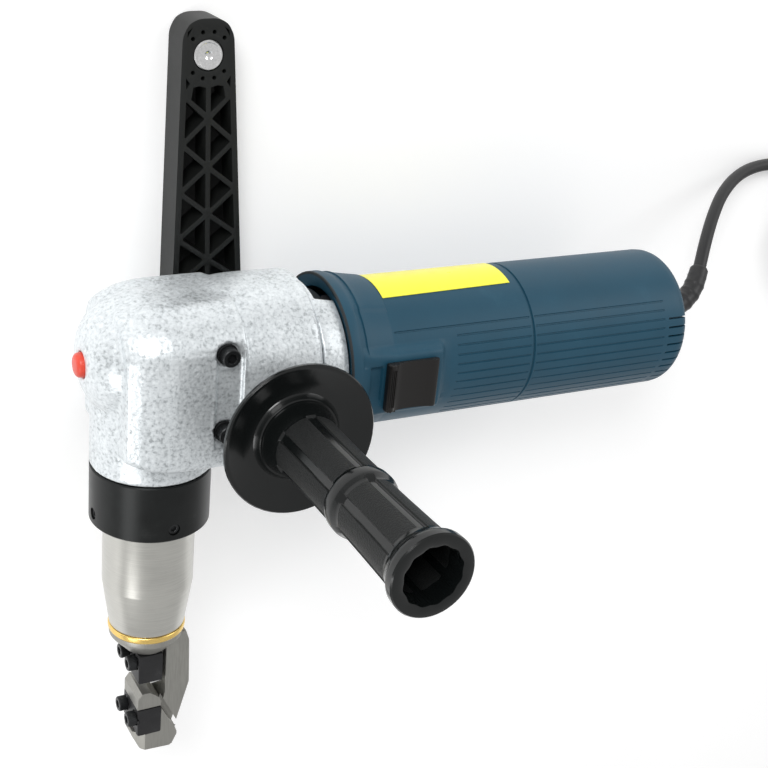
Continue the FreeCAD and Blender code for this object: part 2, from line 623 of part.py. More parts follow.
def rating_label():
    """Thin plate glued on the top of the motor housing."""
    outer = d["motor_radius"]
    skin = turned("label_skin", [(outer + 0.05, 119), (outer + 0.45, 119), (outer + 0.45, 199),
                                 (outer + 0.05, 199)], along((1, 0, 0)))
    wedge = prism("label_sector", [(0, 0), (-28, 60), (18.7, 60)], 90, along((1, 0, 0), (115, 0, 0), 90))
    sector = doc.addObject("Part::Common", "rating_label")
    sector.Base = skin
    sector.Tool = wedge
    return keep(sector)


# ---------------------------------------------------------------- handles

def side_handle():
    """Side handle with its hand guard and its steel stud."""
    place = along((0, -1, 0), (d["handle_x"], 0, d["handle_z"]))
    front = -d["disc_front"]
    end = -d["grip_end"]
    grip = d["grip_radius"]
    keep(turned("side_handle_grip", [(7.05, 48.3), (13, 48.3), (14, 60), (33, 64.0),
                                     (d["disc_radius"], front - 3.2), (d["disc_radius"], front),
                                     (36, front - 1.2), (24, 66.5), (20.5, 69), (19, 74), (grip, 80),
                                     (grip - 0.8, 128), (grip + 0.6, 134), (grip + 0.6, 138),
                                     (grip - 1.6, 142), (grip - 0.2, 190), (d["lip_radius"], 196),
                                     (d["lip_radius"], end), (14.5, end), (13.5, 150), (11, 149),
                                     (11, 112), (7.05, 112)], place))
    keep(turned("side_handle_stud", [(0, 33), (d["stud_radius"], 33), (d["stud_radius"], 110), (0, 110)],
                place))


def on_bar(distance, depth):
    """A placement at a distance from the bar's bolt and a depth in the bar, before the bar is stood up."""
    return FreeCAD.Placement(V(0, value_of(distance), depth), FreeCAD.Rotation())


def shrunk(triangle, inset):
    """A triangle with each side moved inwards by inset."""
    corners = [V(x, y, 0) for x, y in triangle]
    sides = [(corners[(i + 1) % 3] - corners[(i + 2) % 3]).Length for i in range(3)]
    middle = V(0, 0, 0)
    for corner, side in zip(corners, sides):
        middle += corner * (side / sum(sides))
    area = (corners[1] - corners[0]).cross(corners[2] - corners[0]).Length / 2
    share = 1 - inset * sum(sides) / (2 * area)
    return [(middle + (corner - middle) * share) for corner in corners]


def bar_pockets():
    """Outlines of the triangular pockets between the bar's middle rib, crossed ribs and side walls."""
    low = value_of(d["bar_low_half"])
    narrowing = (low - value_of(d["bar_top_half"])) / (value_of(d["bar_length"]) - 10)
    cell = value_of(d["bar_cell"])
    pockets = []
    for k in range(5):
        node = value_of(d["bar_first_node"]) + cell * k
        for side in (-1, 1):
            walls = [side * (low - narrowing * y - BAR_WALL + BAR_RIB / 2)
                     for y in (node - cell / 2, node + cell / 2)]
            pockets.append(shrunk([(walls[0], node - cell / 2), (walls[1], node + cell / 2), (0, node)],
                                  BAR_RIB / 2))
            if k < 4:
                pockets.append(shrunk([(0, node), (walls[1], node + cell / 2), (0, node + cell)],
                                      BAR_RIB / 2))
    return [[(corner.x, corner.y) for corner in outline] for outline in pockets]


def support_bar():
    """Ribbed plastic bar on the far side; one end is bolted to the gear case, the other holds a stud."""
    front = d["bar_front"]
    depth = d["bar_back"] - front
    low = d["bar_low_half"]
    top = d["bar_top_half"]
    length = d["bar_length"]
    stud_at = d["bar_stud_at"]
    # Local x is across the bar, local y runs along it, local z goes through it towards the far face.
    body = prism("bar_body", [(-low * 0.7, -19), (low * 0.7, -19), (low, -10), (low, 0),
                              (top, length - 10), (top - 4, length - 2.5), (5, length), (-5, length),
                              (4 - top, length - 2.5), (-top, length - 10), (-low, 0), (-low, -10)],
                 depth)
    tools = [prism(f"bar_pocket_{i}", outline, depth - 5) for i, outline in enumerate(bar_pockets())]
    tools += [rod("bar_stud_hole", d["bar_stud_radius"] + 0.02, 40, on_bar(stud_at, -5)),
              rod("bar_bolt_hole", d["bolt_radius"] + 0.1, 40, on_bar(0, -5)),
              rod("bar_head_seat", 9.5, 10, on_bar(0, 12))]
    bar = cut("support_bar", body, tools)
    stud = rod("bar_stud", d["bar_stud_radius"], depth, on_bar(stud_at, -0.6))
    bolt = turned("bar_bolt", [(0, -28), (d["bolt_radius"], -28), (d["bolt_radius"], 12.1), (8.5, 12.1),
                               (8.5, 19), (0, 19)])
    # The bar stands up along tool Z, its local z towards tool Y, and leans a little towards the nose.
    upright = FreeCAD.Rotation(V(-1, 0, 0), V(0, 0, 1), V(0, 1, 0), "XYZ")
    stand = FreeCAD.Placement(V(value_of(d["handle_x"]), value_of(front), value_of(d["handle_z"])),
                              upright)
    lean = FreeCAD.Placement(V(0, 0, 0), FreeCAD.Rotation(Z_AXIS, -LEAN))
    for piece in (bar, stud, bolt):
        piece.Placement = stand.multiply(lean).multiply(piece.Placement)
        keep(piece)


# ---------------------------------------------------------------- mains cord, in the row's own frame

RELIEF_ROUTE = [(172, 34.5, 72), (186, 34.5, 72), (199, 36.2, 71.4), (210, 41, 69.5), (218, 48.6, 66),
                (223.5, 56.5, 61)]
CORD_ROUTE = [(223.5, 56.5, 61), (233.5, 69, 51), (247, 80.5, 38.5), (264, 91.5, 25), (286, 99.5, 13),
              (311, 103, 6), (338, 102, 5.2), (360, 100.6, 5.2), (378, 100, 5.2)]
COIL_CENTRE = (398, 52)         # middle of the coil on the surface
COIL_LIFT = 1.2                 # the tie passes under the coil
COIL_MIDDLE = 40.0              # radius at the middle of the turns
TURNS_ACROSS = 3
LAYERS = 2
PLUG_AXIS = (446, 8.5)          # row X and height of the plug's axis
PLUG_FRONT = -42.0              # face that the pins stand on, along row Y


def rounded_wire(route, label):
    """Straight runs joined by tangent arcs, each as large as its two runs allow; prints the radii."""
    points = [V(*p) for p in route]
    edges = []
    radii = []
    start = points[0]
    for before, corner, after in zip(points, points[1:], points[2:]):
        back = before - corner
        ahead = after - corner
        turn = math.pi - back.getAngle(ahead)
        shorter = min(back.Length, ahead.Length)
        radius = 0.45 * shorter / math.tan(turn / 2)
        cut_back = 0.45 * shorter
        back.normalize()
        ahead.normalize()
        first = corner + back * cut_back
        last = corner + ahead * cut_back
        middle_way = back + ahead
        middle_way.normalize()
        middle = corner + middle_way * (math.hypot(radius, cut_back) - radius)
        edges.append(Part.LineSegment(start, first).toShape())
        edges.append(Part.Arc(first, middle, last).toShape())
        radii.append(round(radius, 1))
        start = last
    edges.append(Part.LineSegment(start, points[-1]).toShape())
    print(label, "arc radii", radii)
    return Part.Wire(edges)


def cord_tube():
    """The stretch of cord between the strain relief and the coil."""
    radius = value_of(d["cord_diameter"]) / 2
    wire = rounded_wire(CORD_ROUTE, "cord")
    start = V(*CORD_ROUTE[0])
    section = Part.Wire(Part.Circle(start, V(*CORD_ROUTE[1]) - start, radius).toShape())
    tube = doc.addObject("Part::Feature", "cord")
    tube.Shape = wire.makePipeShell([section], True, False)
    ideal = math.pi * radius ** 2 * wire.Length
    print("cord length", round(wire.Length, 1), "volume share", round(tube.Shape.Volume / ideal, 4))
    return tube


def strain_relief():
    """Bent tapered sleeve of short cones; its collar is held inside the rear cover."""
    points = [V(*p) for p in RELIEF_ROUTE]
    count = len(points) - 1
    step = (6.9 - 5.3) / count
    cones = [rod("relief_collar", 9, 2.2, along((1, 0, 0), (171.6, 34.5, 72)))]
    for i, (a, b) in enumerate(zip(points, points[1:])):
        cone = doc.addObject("Part::Cone", f"relief_{i}")
        cone.Radius1 = 6.9 - step * i
        cone.Radius2 = 6.9 - step * (i + 1)
        cone.Height = (b - a).Length
        cone.Placement = along(tuple(b - a), tuple(a))
        cones.append(cone)
        if 0 < i:
            joint = doc.addObject("Part::Sphere", f"relief_joint_{i}")
            joint.Radius = 6.9 - step * i
            joint.Placement = FreeCAD.Placement(a, FreeCAD.Rotation())
            cones.append(joint)
    return fuse("strain_relief", cones)


def coil_and_plug():
    """The wound cord, its tie, and the two-pin plug beside it."""
    cord = value_of(d["cord_diameter"])
    half = TURNS_ACROSS * cord / 2
    x, y = COIL_CENTRE
    tall = LAYERS * cord
    coil = turned("cord_coil", [(COIL_MIDDLE - half, 0), (COIL_MIDDLE + half, 0),
                                (COIL_MIDDLE + half, tall), (COIL_MIDDLE - half, tall)],
                  along((0, 0, 1), (x, y, COIL_LIFT)))
    band = block("tie_outside", (x - COIL_MIDDLE - half - 1.2, y - 6, 0),
                 (2 * half + 2.4, 12, tall + 2.4))
    room = block("tie_inside", (x - COIL_MIDDLE - half, y - 7, 1.2), (2 * half, 14, tall))
    tie = cut("cord_tie", band, [room])
    px, pz = PLUG_AXIS
    relief = turned("plug_relief", [(0, 0), (4.9, 0), (6.4, 30), (0, 30)],
                    along((0, -1, 0), (px, 31.2, pz)))
    body = prism("plug_block", [(-7, 0), (7, 0), (17.5, 16), (17.5, 43.5), (-17.5, 43.5), (-17.5, 16)],
                 16, FreeCAD.Placement(V(px, 1.5, pz - 8), FreeCAD.Rotation(Z_AXIS, 180)))
    pins = [rod(f"plug_pin_{i}", 2.4, 19, along((0, -1, 0), (px + side * 9.5, PLUG_FRONT, pz)))
            for i, side in enumerate((-1, 1))]
    return [coil, tie, fuse("plug_body", [relief, body]), group("plug_pins", pins)]


gear_case()
bearing_flange()
case_screws()
lock_parts()
ring_nut()
head_tube()
cutter_foot()
blades()
ram()
crank()
motor()
motor_housing()
rear_cover()
switch_parts()
housing_screws()
rating_label()
side_handle()
support_bar()

LYING = FreeCAD.Placement(V(-CENTRE.x, -CENTRE.y, CENTRE.z), FreeCAD.Rotation(V(1, 0, 0), -90))
doc.recompute()
for piece in nodes.values():
    piece.Placement = LYING.multiply(piece.Placement)
for piece in [strain_relief(), cord_tube()] + coil_and_plug():
    keep(piece)
doc.recompute()

for thing in doc.Objects:
    for state in thing.State:
        if state in ("Invalid", "Error"):
            raise RuntimeError(f"{thing.Label} is {state}")
for label, piece in nodes.items():
    if piece.Shape.isNull() or not piece.Shape.isValid():
        raise RuntimeError(f"{label} has no valid shape")

os.makedirs("parts", exist_ok=True)
for label, piece in nodes.items():
    piece.Shape.exportStep(f"parts/{label}.step")
    box = piece.Shape.BoundBox
    print(label, len(piece.Shape.Solids), round(piece.Shape.Volume / 1000, 2),
          [round(c, 1) for c in (box.XMin, box.XMax, box.YMin, box.YMax, box.ZMin, box.ZMax)])
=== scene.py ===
import json
import logging
import math
from dataclasses import dataclass, field
from enum import Enum
from typing import Callable, Optional, Sequence

import bmesh
import bpy
from mathutils import Matrix, Vector


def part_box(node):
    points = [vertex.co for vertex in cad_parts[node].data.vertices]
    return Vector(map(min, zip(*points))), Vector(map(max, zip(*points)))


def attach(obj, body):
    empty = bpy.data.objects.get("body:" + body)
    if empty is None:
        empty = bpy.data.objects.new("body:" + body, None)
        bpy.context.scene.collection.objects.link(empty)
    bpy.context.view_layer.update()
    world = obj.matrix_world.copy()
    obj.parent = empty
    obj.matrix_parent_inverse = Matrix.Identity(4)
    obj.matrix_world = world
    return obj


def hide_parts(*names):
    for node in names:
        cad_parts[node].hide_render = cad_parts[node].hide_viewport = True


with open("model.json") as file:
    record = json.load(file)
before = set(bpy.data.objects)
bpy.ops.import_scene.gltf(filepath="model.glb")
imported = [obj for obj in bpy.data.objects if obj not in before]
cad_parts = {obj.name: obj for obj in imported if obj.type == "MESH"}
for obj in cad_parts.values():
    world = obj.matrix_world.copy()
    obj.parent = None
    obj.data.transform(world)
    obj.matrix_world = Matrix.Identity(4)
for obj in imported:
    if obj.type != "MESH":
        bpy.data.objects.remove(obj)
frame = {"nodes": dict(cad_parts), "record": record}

log = logging.getLogger("nibbler")
MM = 0.001
Point = tuple[float, float]
Point3 = tuple[float, float, float]
Colour = tuple[float, float, float]


# ---------------------------------------------------------------- places

def middle(node: str) -> Vector:
    """The middle of a CAD node's box."""
    low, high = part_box(node)
    return (Vector(low) + Vector(high)) / 2


HEAD_MIDDLE = middle("brass_ring")
MOTOR_MIDDLE = middle("commutator")
HANDLE_MIDDLE = middle("side_handle_stud")
ORIGIN = Vector((HEAD_MIDDLE.x, MOTOR_MIDDLE.y, MOTOR_MIDDLE.z))


def tool(x: float, y: float, z: float) -> Vector:
    """A point of the tool's own frame in the row frame.

    Args:
        x: along the motor towards the cord, in mm from the head's axis.
        y: towards the support bar, in mm from the motor's axis.
        z: along the head away from the blades, in mm from the motor's axis.

    Returns:
        The point in metres.
    """
    return ORIGIN + Vector((x, z, -y)) * MM


@dataclass(frozen=True)
class Axis:
    """A turning axis: where it passes, where it runs, and where angle 0 and 90 degrees lie."""

    origin: Vector
    along: Vector
    zero: Vector
    quarter: Vector

    def at(self, distance: float, radius: float, angle: float) -> Vector:
        """A point by its distance along the axis and its radius in mm, and its angle in radians."""
        around = self.zero * math.cos(angle) + self.quarter * math.sin(angle)
        return self.origin + (self.along * distance + around * radius) * MM


MOTOR = Axis(ORIGIN, Vector((1, 0, 0)), Vector((0, 0, 1)), Vector((0, 1, 0)))
HEAD = Axis(ORIGIN, Vector((0, 1, 0)), Vector((-1, 0, 0)), Vector((0, 0, 1)))
HANDLE = Axis(Vector((HANDLE_MIDDLE.x, HANDLE_MIDDLE.y, ORIGIN.z)), Vector((0, 0, 1)), Vector((1, 0, 0)),
              Vector((0, 1, 0)))


# ---------------------------------------------------------------- shader nodes

class Value:
    """One socket of a material, with the arithmetic that shader maths needs."""

    def __init__(self, board: "Board", socket: bpy.types.NodeSocket) -> None:
        """Keeps the socket and the material that it belongs to."""
        self.board = board
        self.socket = socket

    def __add__(self, other: "Value | float") -> "Value":
        """Sum."""
        return self.board.maths("ADD", self, other)

    def __radd__(self, other: float) -> "Value":
        """Sum, with the number first."""
        return self.board.maths("ADD", other, self)

    def __sub__(self, other: "Value | float") -> "Value":
        """Difference."""
        return self.board.maths("SUBTRACT", self, other)

    def __rsub__(self, other: float) -> "Value":
        """Difference, with the number first."""
        return self.board.maths("SUBTRACT", other, self)

    def __mul__(self, other: "Value | float") -> "Value":
        """Product."""
        return self.board.maths("MULTIPLY", self, other)

    def __rmul__(self, other: float) -> "Value":
        """Product, with the number first."""
        return self.board.maths("MULTIPLY", other, self)

    def within(self, low: float, high: float) -> "Value":
        """0 below low, 1 above high, and a straight line between them."""
        node = self.board.node("ShaderNodeMapRange", {"clamp": True},
                               {"Value": self, "From Min": low, "From Max": high})
        return Value(self.board, node.outputs["Result"])


class Board:
    """The node tree of one material: makes nodes and ends in a Principled surface."""

    def __init__(self, name: str) -> None:
        """Starts an empty material with its output and surface.

        Args:
            name: the material's name.
        """
        self.material = bpy.data.materials.new(name)
        self.material.use_nodes = True
        self.tree = self.material.node_tree
        self.tree.nodes.clear()
        self.surface = self.node("ShaderNodeBsdfPrincipled", {}, {})
        output = self.node("ShaderNodeOutputMaterial", {}, {})
        self.tree.links.new(self.surface.outputs["BSDF"], output.inputs["Surface"])

    def node(self, kind: str, settings: dict, inputs: dict) -> bpy.types.Node:
        """Adds a node.

        Args:
            kind: the node's type.
            settings: its own properties, set first; "stops" fills a colour ramp.
            inputs: socket names or numbers with what each gets, a number, a colour or a Value.

        Returns:
            The node.
        """
        made = self.tree.nodes.new(kind)
        for name, setting in settings.items():
            if name == "stops":
                self._fill_ramp(made.color_ramp, setting)
            else:
                setattr(made, name, setting)
        for name, given in inputs.items():
            self.feed(made.inputs[name], given)
        return made

    def feed(self, socket: bpy.types.NodeSocket, given: object) -> None:
        """Links a Value to a socket, or sets its number or colour."""
        if isinstance(given, Value):
            self.tree.links.new(given.socket, socket)
        elif isinstance(given, tuple) and len(given) == 3 and socket.type == "RGBA":
            socket.default_value = (*given, 1.0)
        else:
            socket.default_value = given

    @staticmethod
    def _fill_ramp(ramp: bpy.types.ColorRamp, stops: Sequence[tuple[float, Colour]]) -> None:
        """Sets a colour ramp's stops."""
        while len(ramp.elements) < len(stops):
            ramp.elements.new(1.0)
        for element, (place, colour) in zip(ramp.elements, stops):
            element.position = place
            element.color = (*colour, 1.0)

    def maths(self, operation: str, left: "Value | float", right: "Value | float") -> Value:
        """The result of one Math node."""
        return Value(self, self.node("ShaderNodeMath", {"operation": operation},
                                     {0: left, 1: right}).outputs[0])

    def place(self, stretch: tuple[float, float, float] = (1.0, 1.0, 1.0)) -> Value:
        """The object's own coordinates, in metres, stretched along each axis."""
        spot = self.node("ShaderNodeTexCoord", {}, {})
        scaled = self.node("ShaderNodeVectorMath", {"operation": "MULTIPLY"},
                           {0: Value(self, spot.outputs["Object"]), 1: stretch})
        return Value(self, scaled.outputs[0])

    def noise(self, per_metre: float, detail: float = 3.0, rough: float = 0.5, where: Optional[Value] = None,
              warp: float = 0.0) -> Value:
        """Cloudy values about 0.5, per_metre features to the metre."""
        node = self.node("ShaderNodeTexNoise", {}, {"Vector": where or self.place(), "Scale": per_metre,
                                                    "Detail": detail, "Roughness": rough, "Distortion": warp})
        return Value(self, node.outputs["Fac"])

    def cells(self, per_metre: float, where: Optional[Value] = None) -> Value:
        """Distance from the nearest of many scattered points."""
        node = self.node("ShaderNodeTexVoronoi", {"feature": "SMOOTH_F1"},
                         {"Vector": where or self.place(), "Scale": per_metre, "Smoothness": 0.6})
        return Value(self, node.outputs["Distance"])

    def blend(self, share: Value, first: object, second: object) -> Value:
        """A colour between two others."""
        node = self.node("ShaderNodeMix", {"data_type": "RGBA"}, {0: share, 6: first, 7: second})
        return Value(self, node.outputs[2])

    def ramp(self, value: Value, stops: Sequence[tuple[float, Colour]]) -> Value:
        """A colour looked up on a ramp."""
        return Value(self, self.node("ShaderNodeValToRGB", {"stops": stops}, {0: value}).outputs["Color"])

    def bump(self, height: Value, depth_mm: float, strength: float = 1.0,
             under: Optional[Value] = None) -> Value:
        """A bumped normal; under is another bump that it lies on."""
        inputs = {"Height": height, "Distance": depth_mm * MM, "Strength": strength}
        if under is not None:
            inputs["Normal"] = under
        return Value(self, self.node("ShaderNodeBump", {}, inputs).outputs["Normal"])

    def dress(self, **sockets: object) -> bpy.types.Material:
        """Sets the surface's sockets; an underscore stands for a space.

        Returns:
            The material.
        """
        for name, given in sockets.items():
            self.feed(self.surface.inputs[name.replace("_", " ")], given)
        return self.material


# ---------------------------------------------------------------- finishes

@dataclass(frozen=True)
class HammeredCasting:
    """Cast aluminium with a speckled hammer finish."""

    light: Colour = (0.81, 0.85, 0.87)
    middle: Colour = (0.66, 0.70, 0.72)
    dark: Colour = (0.41, 0.44, 0.455)
    speck_per_metre: float = 520.0

    def make(self, name: str) -> bpy.types.Material:
        """Makes the material."""
        b = Board(name)
        patches = b.noise(self.speck_per_metre, 3.0, 0.62, warp=0.3)
        broad = b.noise(60.0, 2.0)
        grain = b.noise(1900.0, 2.0, 0.7)
        tone = (patches * 0.72 + broad * 0.2 + grain * 0.16).within(0.40, 0.66)
        colour = b.ramp(tone, [(0.0, self.dark), (0.4, self.middle), (1.0, self.light)])
        dents = b.cells(480.0) * 0.6 + patches * 0.5
        shape = b.bump(dents, 0.42, 0.6)
        fine = b.bump(grain, 0.10, 0.35, under=shape)
        gloss = 0.27 + 0.24 * patches
        return b.dress(Base_Color=colour, Metallic=0.5, Roughness=gloss, Normal=fine, Coat_Weight=0.25,
                       Coat_Roughness=0.22)


class Lay(Enum):
    """Which way a metal's tool marks run."""

    ROUND_HEAD = (0.02, 1.0, 0.02)
    ROUND_MOTOR = (1.0, 0.02, 0.02)
    ALONG_HEAD = (1.0, 0.06, 1.0)
    NONE = (1.0, 1.0, 1.0)


@dataclass(frozen=True)
class MachinedMetal:
    """Turned or ground metal: bright, with fine marks along one direction."""

    colour: Colour = (0.60, 0.575, 0.53)
    rough: float = 0.30
    lay: Lay = Lay.NONE
    marks_per_metre: float = 3500.0
    mark_mm: float = 0.02

    def make(self, name: str) -> bpy.types.Material:
        """Makes the material."""
        b = Board(name)
        marks = b.noise(self.marks_per_metre, 3.0, 0.6, where=b.place(self.lay.value))
        smudge = b.noise(45.0, 3.0, 0.6)
        shade = b.blend(smudge.within(0.35, 0.7), tuple(0.86 * c for c in self.colour), self.colour)
        lines = b.blend(marks.within(0.3, 0.75), shade, tuple(min(1.0, 1.12 * c) for c in self.colour))
        gloss = self.rough - 0.06 + 0.10 * smudge + 0.10 * marks
        return b.dress(Base_Color=lines, Metallic=1.0, Roughness=gloss,
                       Normal=b.bump(marks, self.mark_mm, 0.5))


@dataclass(frozen=True)
class OxidisedSteel:
    """Blackened steel, satin, with a few rubbed patches."""

    colour: Colour = (0.020, 0.021, 0.023)
    edge: Colour = (0.16, 0.16, 0.16)
    rough: float = 0.36
    lay: Lay = Lay.NONE

    def make(self, name: str) -> bpy.types.Material:
        """Makes the material."""
        b = Board(name)
        marks = b.noise(2600.0, 3.0, 0.6, where=b.place(self.lay.value))
        smudge = b.noise(70.0, 4.0, 0.6)
        base = b.blend(smudge.within(0.3, 0.75), self.colour, tuple(1.7 * c for c in self.colour))
        rubbed = b.blend((smudge + 0.35 * marks).within(0.80, 0.98) * 0.35, base, self.edge)
        gloss = self.rough - 0.07 + 0.14 * smudge + 0.06 * marks
        return b.dress(Base_Color=rubbed, Metallic=0.55, Roughness=gloss, Normal=b.bump(marks, 0.02, 0.45))


@dataclass(frozen=True)
class MouldedPlastic:
    """Moulded plastic with a spark-eroded grain and a few faint scuffs."""

    colour: Colour = (0.03, 0.03, 0.03)
    edge: Colour = (0.10, 0.10, 0.10)
    rough: float = 0.5
    grain_per_metre: float = 1500.0
    grain_mm: float = 0.06
    coat: float = 0.0
    mottle: float = 0.12
    shine: float = 0.5

    def make(self, name: str) -> bpy.types.Material:
        """Makes the material."""
        b = Board(name)
        grain = b.noise(self.grain_per_metre, 3.0, 0.65)
        smudge = b.noise(38.0, 4.0, 0.6)
        shade = smudge.within(0.3, 0.72)
        base = b.blend(shade, tuple((1 - self.mottle) * c for c in self.colour),
                       tuple((1 + self.mottle) * c for c in self.colour))
        rubbed = b.blend((smudge + 0.3 * grain).within(0.80, 0.95) * 0.25, base, self.edge)
        gloss = self.rough - 0.06 + 0.10 * smudge + 0.05 * grain
        return b.dress(Base_Color=rubbed, Roughness=gloss, Normal=b.bump(grain, self.grain_mm, 0.6),
                       Coat_Weight=self.coat, Coat_Roughness=0.12, Specular_IOR_Level=self.shine)


@dataclass(frozen=True)
class FoilLabel:
    """A plain yellow foil, glossy and slightly rippled, with a faint speckle."""

    colour: Colour = (0.96, 0.90, 0.03)
    ink: Colour = (0.80, 0.72, 0.03)

    def make(self, name: str) -> bpy.types.Material:
        """Makes the material."""
        b = Board(name)
        ripple = b.noise(90.0, 2.0)
        print_grain = b.noise(900.0, 2.0)
        tint = b.blend(ripple.within(0.3, 0.7), self.colour, tuple(0.94 * c for c in self.colour))
        speck = b.blend(print_grain.within(0.66, 0.72) * 0.25, tint, self.ink)
        return b.dress(Base_Color=speck, Roughness=0.24 + 0.12 * ripple, Normal=b.bump(ripple, 0.15, 0.3),
                       Coat_Weight=0.3)


@dataclass(frozen=True)
class WoundCopper:
    """Enamelled copper wire lying side by side."""

    colour: Colour = (0.55, 0.22, 0.09)

    def make(self, name: str) -> bpy.types.Material:
        """Makes the material."""
        b = Board(name)
        wires = b.noise(1400.0, 1.0, 0.4, where=b.place((0.08, 1.0, 1.0)))
        tint = b.blend(wires.within(0.35, 0.65), tuple(0.5 * c for c in self.colour), self.colour)
        return b.dress(Base_Color=tint, Metallic=0.8, Roughness=0.3 + 0.2 * wires, Normal=b.bump(wires, 0.3))


@dataclass(frozen=True)
class Laminations:
    """A stack of thin steel sheets across the motor's axis."""

    colour: Colour = (0.30, 0.30, 0.31)

    def make(self, name: str) -> bpy.types.Material:
        """Makes the material."""
        b = Board(name)
        sheets = b.noise(1800.0, 1.0, 0.4, where=b.place((1.0, 0.01, 0.01)))
        tint = b.blend(sheets.within(0.35, 0.65), tuple(0.45 * c for c in self.colour), self.colour)
        return b.dress(Base_Color=tint, Metallic=0.8, Roughness=0.4 + 0.2 * sheets,
                       Normal=b.bump(sheets, 0.2))


@dataclass(frozen=True)
class LoopFabric:
    """Black hook-and-loop band."""

    colour: Colour = (0.02, 0.02, 0.022)

    def make(self, name: str) -> bpy.types.Material:
        """Makes the material."""
        b = Board(name)
        loops = b.cells(1600.0)
        tint = b.blend(loops.within(0.1, 0.6), tuple(2.4 * c for c in self.colour), self.colour)
        return b.dress(Base_Color=tint, Roughness=0.85 + 0.1 * loops, Normal=b.bump(loops, 0.4),
                       Sheen_Weight=0.4)


BLUE: Colour = (0.010, 0.060, 0.100)


class Palette:
    """Every finish of the tool by the record's slot, made when it is first asked for."""

    FINISHES = {
        "cast_case": HammeredCasting(),
        "machined_steel": MachinedMetal(),
        "sleeve_steel": MachinedMetal((0.56, 0.555, 0.52), rough=0.27, lay=Lay.ROUND_HEAD,
                                      marks_per_metre=2500.0, mark_mm=0.03),
        "foot_steel": MachinedMetal((0.36, 0.355, 0.33), rough=0.42, lay=Lay.ALONG_HEAD,
                                    marks_per_metre=1500.0, mark_mm=0.05),
        "stud_steel": MachinedMetal((0.80, 0.80, 0.80), rough=0.16, lay=Lay.NONE, marks_per_metre=900.0,
                                    mark_mm=0.02),
        "bearing_steel": MachinedMetal((0.66, 0.66, 0.67), rough=0.2, lay=Lay.ROUND_MOTOR),
        "dark_steel": OxidisedSteel((0.016, 0.017, 0.018), edge=(0.12, 0.12, 0.12)),
        "nut_steel": OxidisedSteel((0.0075, 0.0085, 0.0085), edge=(0.05, 0.05, 0.05), rough=0.33,
                                   lay=Lay.ROUND_HEAD),
        "holder_steel": OxidisedSteel((0.020, 0.020, 0.021), edge=(0.16, 0.16, 0.155), rough=0.42),
        "brass_trim": MachinedMetal((0.88, 0.62, 0.20), rough=0.24, lay=Lay.ROUND_HEAD,
                                    marks_per_metre=2500.0, mark_mm=0.03),
        "blue_shell": MouldedPlastic(BLUE, edge=(0.04, 0.12, 0.17), rough=0.44, grain_per_metre=1700.0,
                                     grain_mm=0.05, coat=0.0, mottle=0.06, shine=0.36),
        "black_gloss": MouldedPlastic((0.004, 0.005, 0.005), edge=(0.015, 0.015, 0.015), rough=0.17,
                                      grain_per_metre=500.0, grain_mm=0.02, coat=0.25, mottle=0.12,
                                      shine=0.3),
        "black_grain": MouldedPlastic((0.008, 0.009, 0.009), edge=(0.03, 0.03, 0.03), rough=0.44,
                                      grain_per_metre=1000.0, grain_mm=1.1, coat=0.0, mottle=0.12,
                                      shine=0.3),
        "bar_plastic": MouldedPlastic((0.008, 0.009, 0.0085), edge=(0.03, 0.031, 0.03), rough=0.46,
                                      grain_per_metre=800.0, grain_mm=0.07, coat=0.0, mottle=0.12,
                                      shine=0.32),
        # Dark finish of the collar's front rim, and also the painted shade of the disc inside the cast ring.
        "rim_plastic_and_painted_shade": MouldedPlastic((0.012, 0.016, 0.018), edge=(0.05, 0.05, 0.05), rough=0.5),
        "switch_plastic": MouldedPlastic((0.007, 0.006, 0.0055), edge=(0.03, 0.026, 0.024), rough=0.38,
                                         grain_per_metre=1200.0, grain_mm=0.05, coat=0.05, mottle=0.12,
                                         shine=0.35),
        "red_button": MouldedPlastic((0.72, 0.060, 0.030), edge=(0.8, 0.12, 0.07), rough=0.36,
                                     grain_per_metre=900.0, grain_mm=0.03, coat=0.1),
        "yellow_label": FoilLabel(),
        "inner_plastic": MouldedPlastic((0.05, 0.05, 0.055), edge=(0.1, 0.1, 0.1), rough=0.5),
        "copper_winding": WoundCopper(),
        "carbon": MouldedPlastic((0.03, 0.03, 0.03), edge=(0.08, 0.08, 0.08), rough=0.6,
                                 grain_per_metre=2400.0),
        "core_steel": Laminations(),
        "cord_rubber": MouldedPlastic((0.014, 0.014, 0.015), edge=(0.05, 0.05, 0.05), rough=0.42,
                                      grain_per_metre=1100.0, grain_mm=0.05),
        "plug_plastic": MouldedPlastic((0.016, 0.016, 0.017), edge=(0.06, 0.06, 0.06), rough=0.38,
                                       grain_per_metre=1300.0, grain_mm=0.06),
        "pin_metal": MachinedMetal((0.78, 0.76, 0.70), rough=0.22),
        "tie_fabric": LoopFabric(),
    }

    def __init__(self) -> None:
        """Starts with nothing made."""
        self.made: dict[str, bpy.types.Material] = {}

    def get(self, name: str) -> bpy.types.Material:
        """The material of a finish."""
        if name not in self.made:
            self.made[name] = self.FINISHES[name].make(name)
        return self.made[name]


PALETTE = Palette()
SLOT_OF_FINISH = {"sleeve_steel": "machined_steel", "foot_steel": "machined_steel",
                  "stud_steel": "machined_steel", "nut_steel": "dark_steel", "holder_steel": "dark_steel",
                  "black_grain": "black_gloss", "rim_plastic_and_painted_shade": "blue_shell"}


# ---------------------------------------------------------------- mesh tools

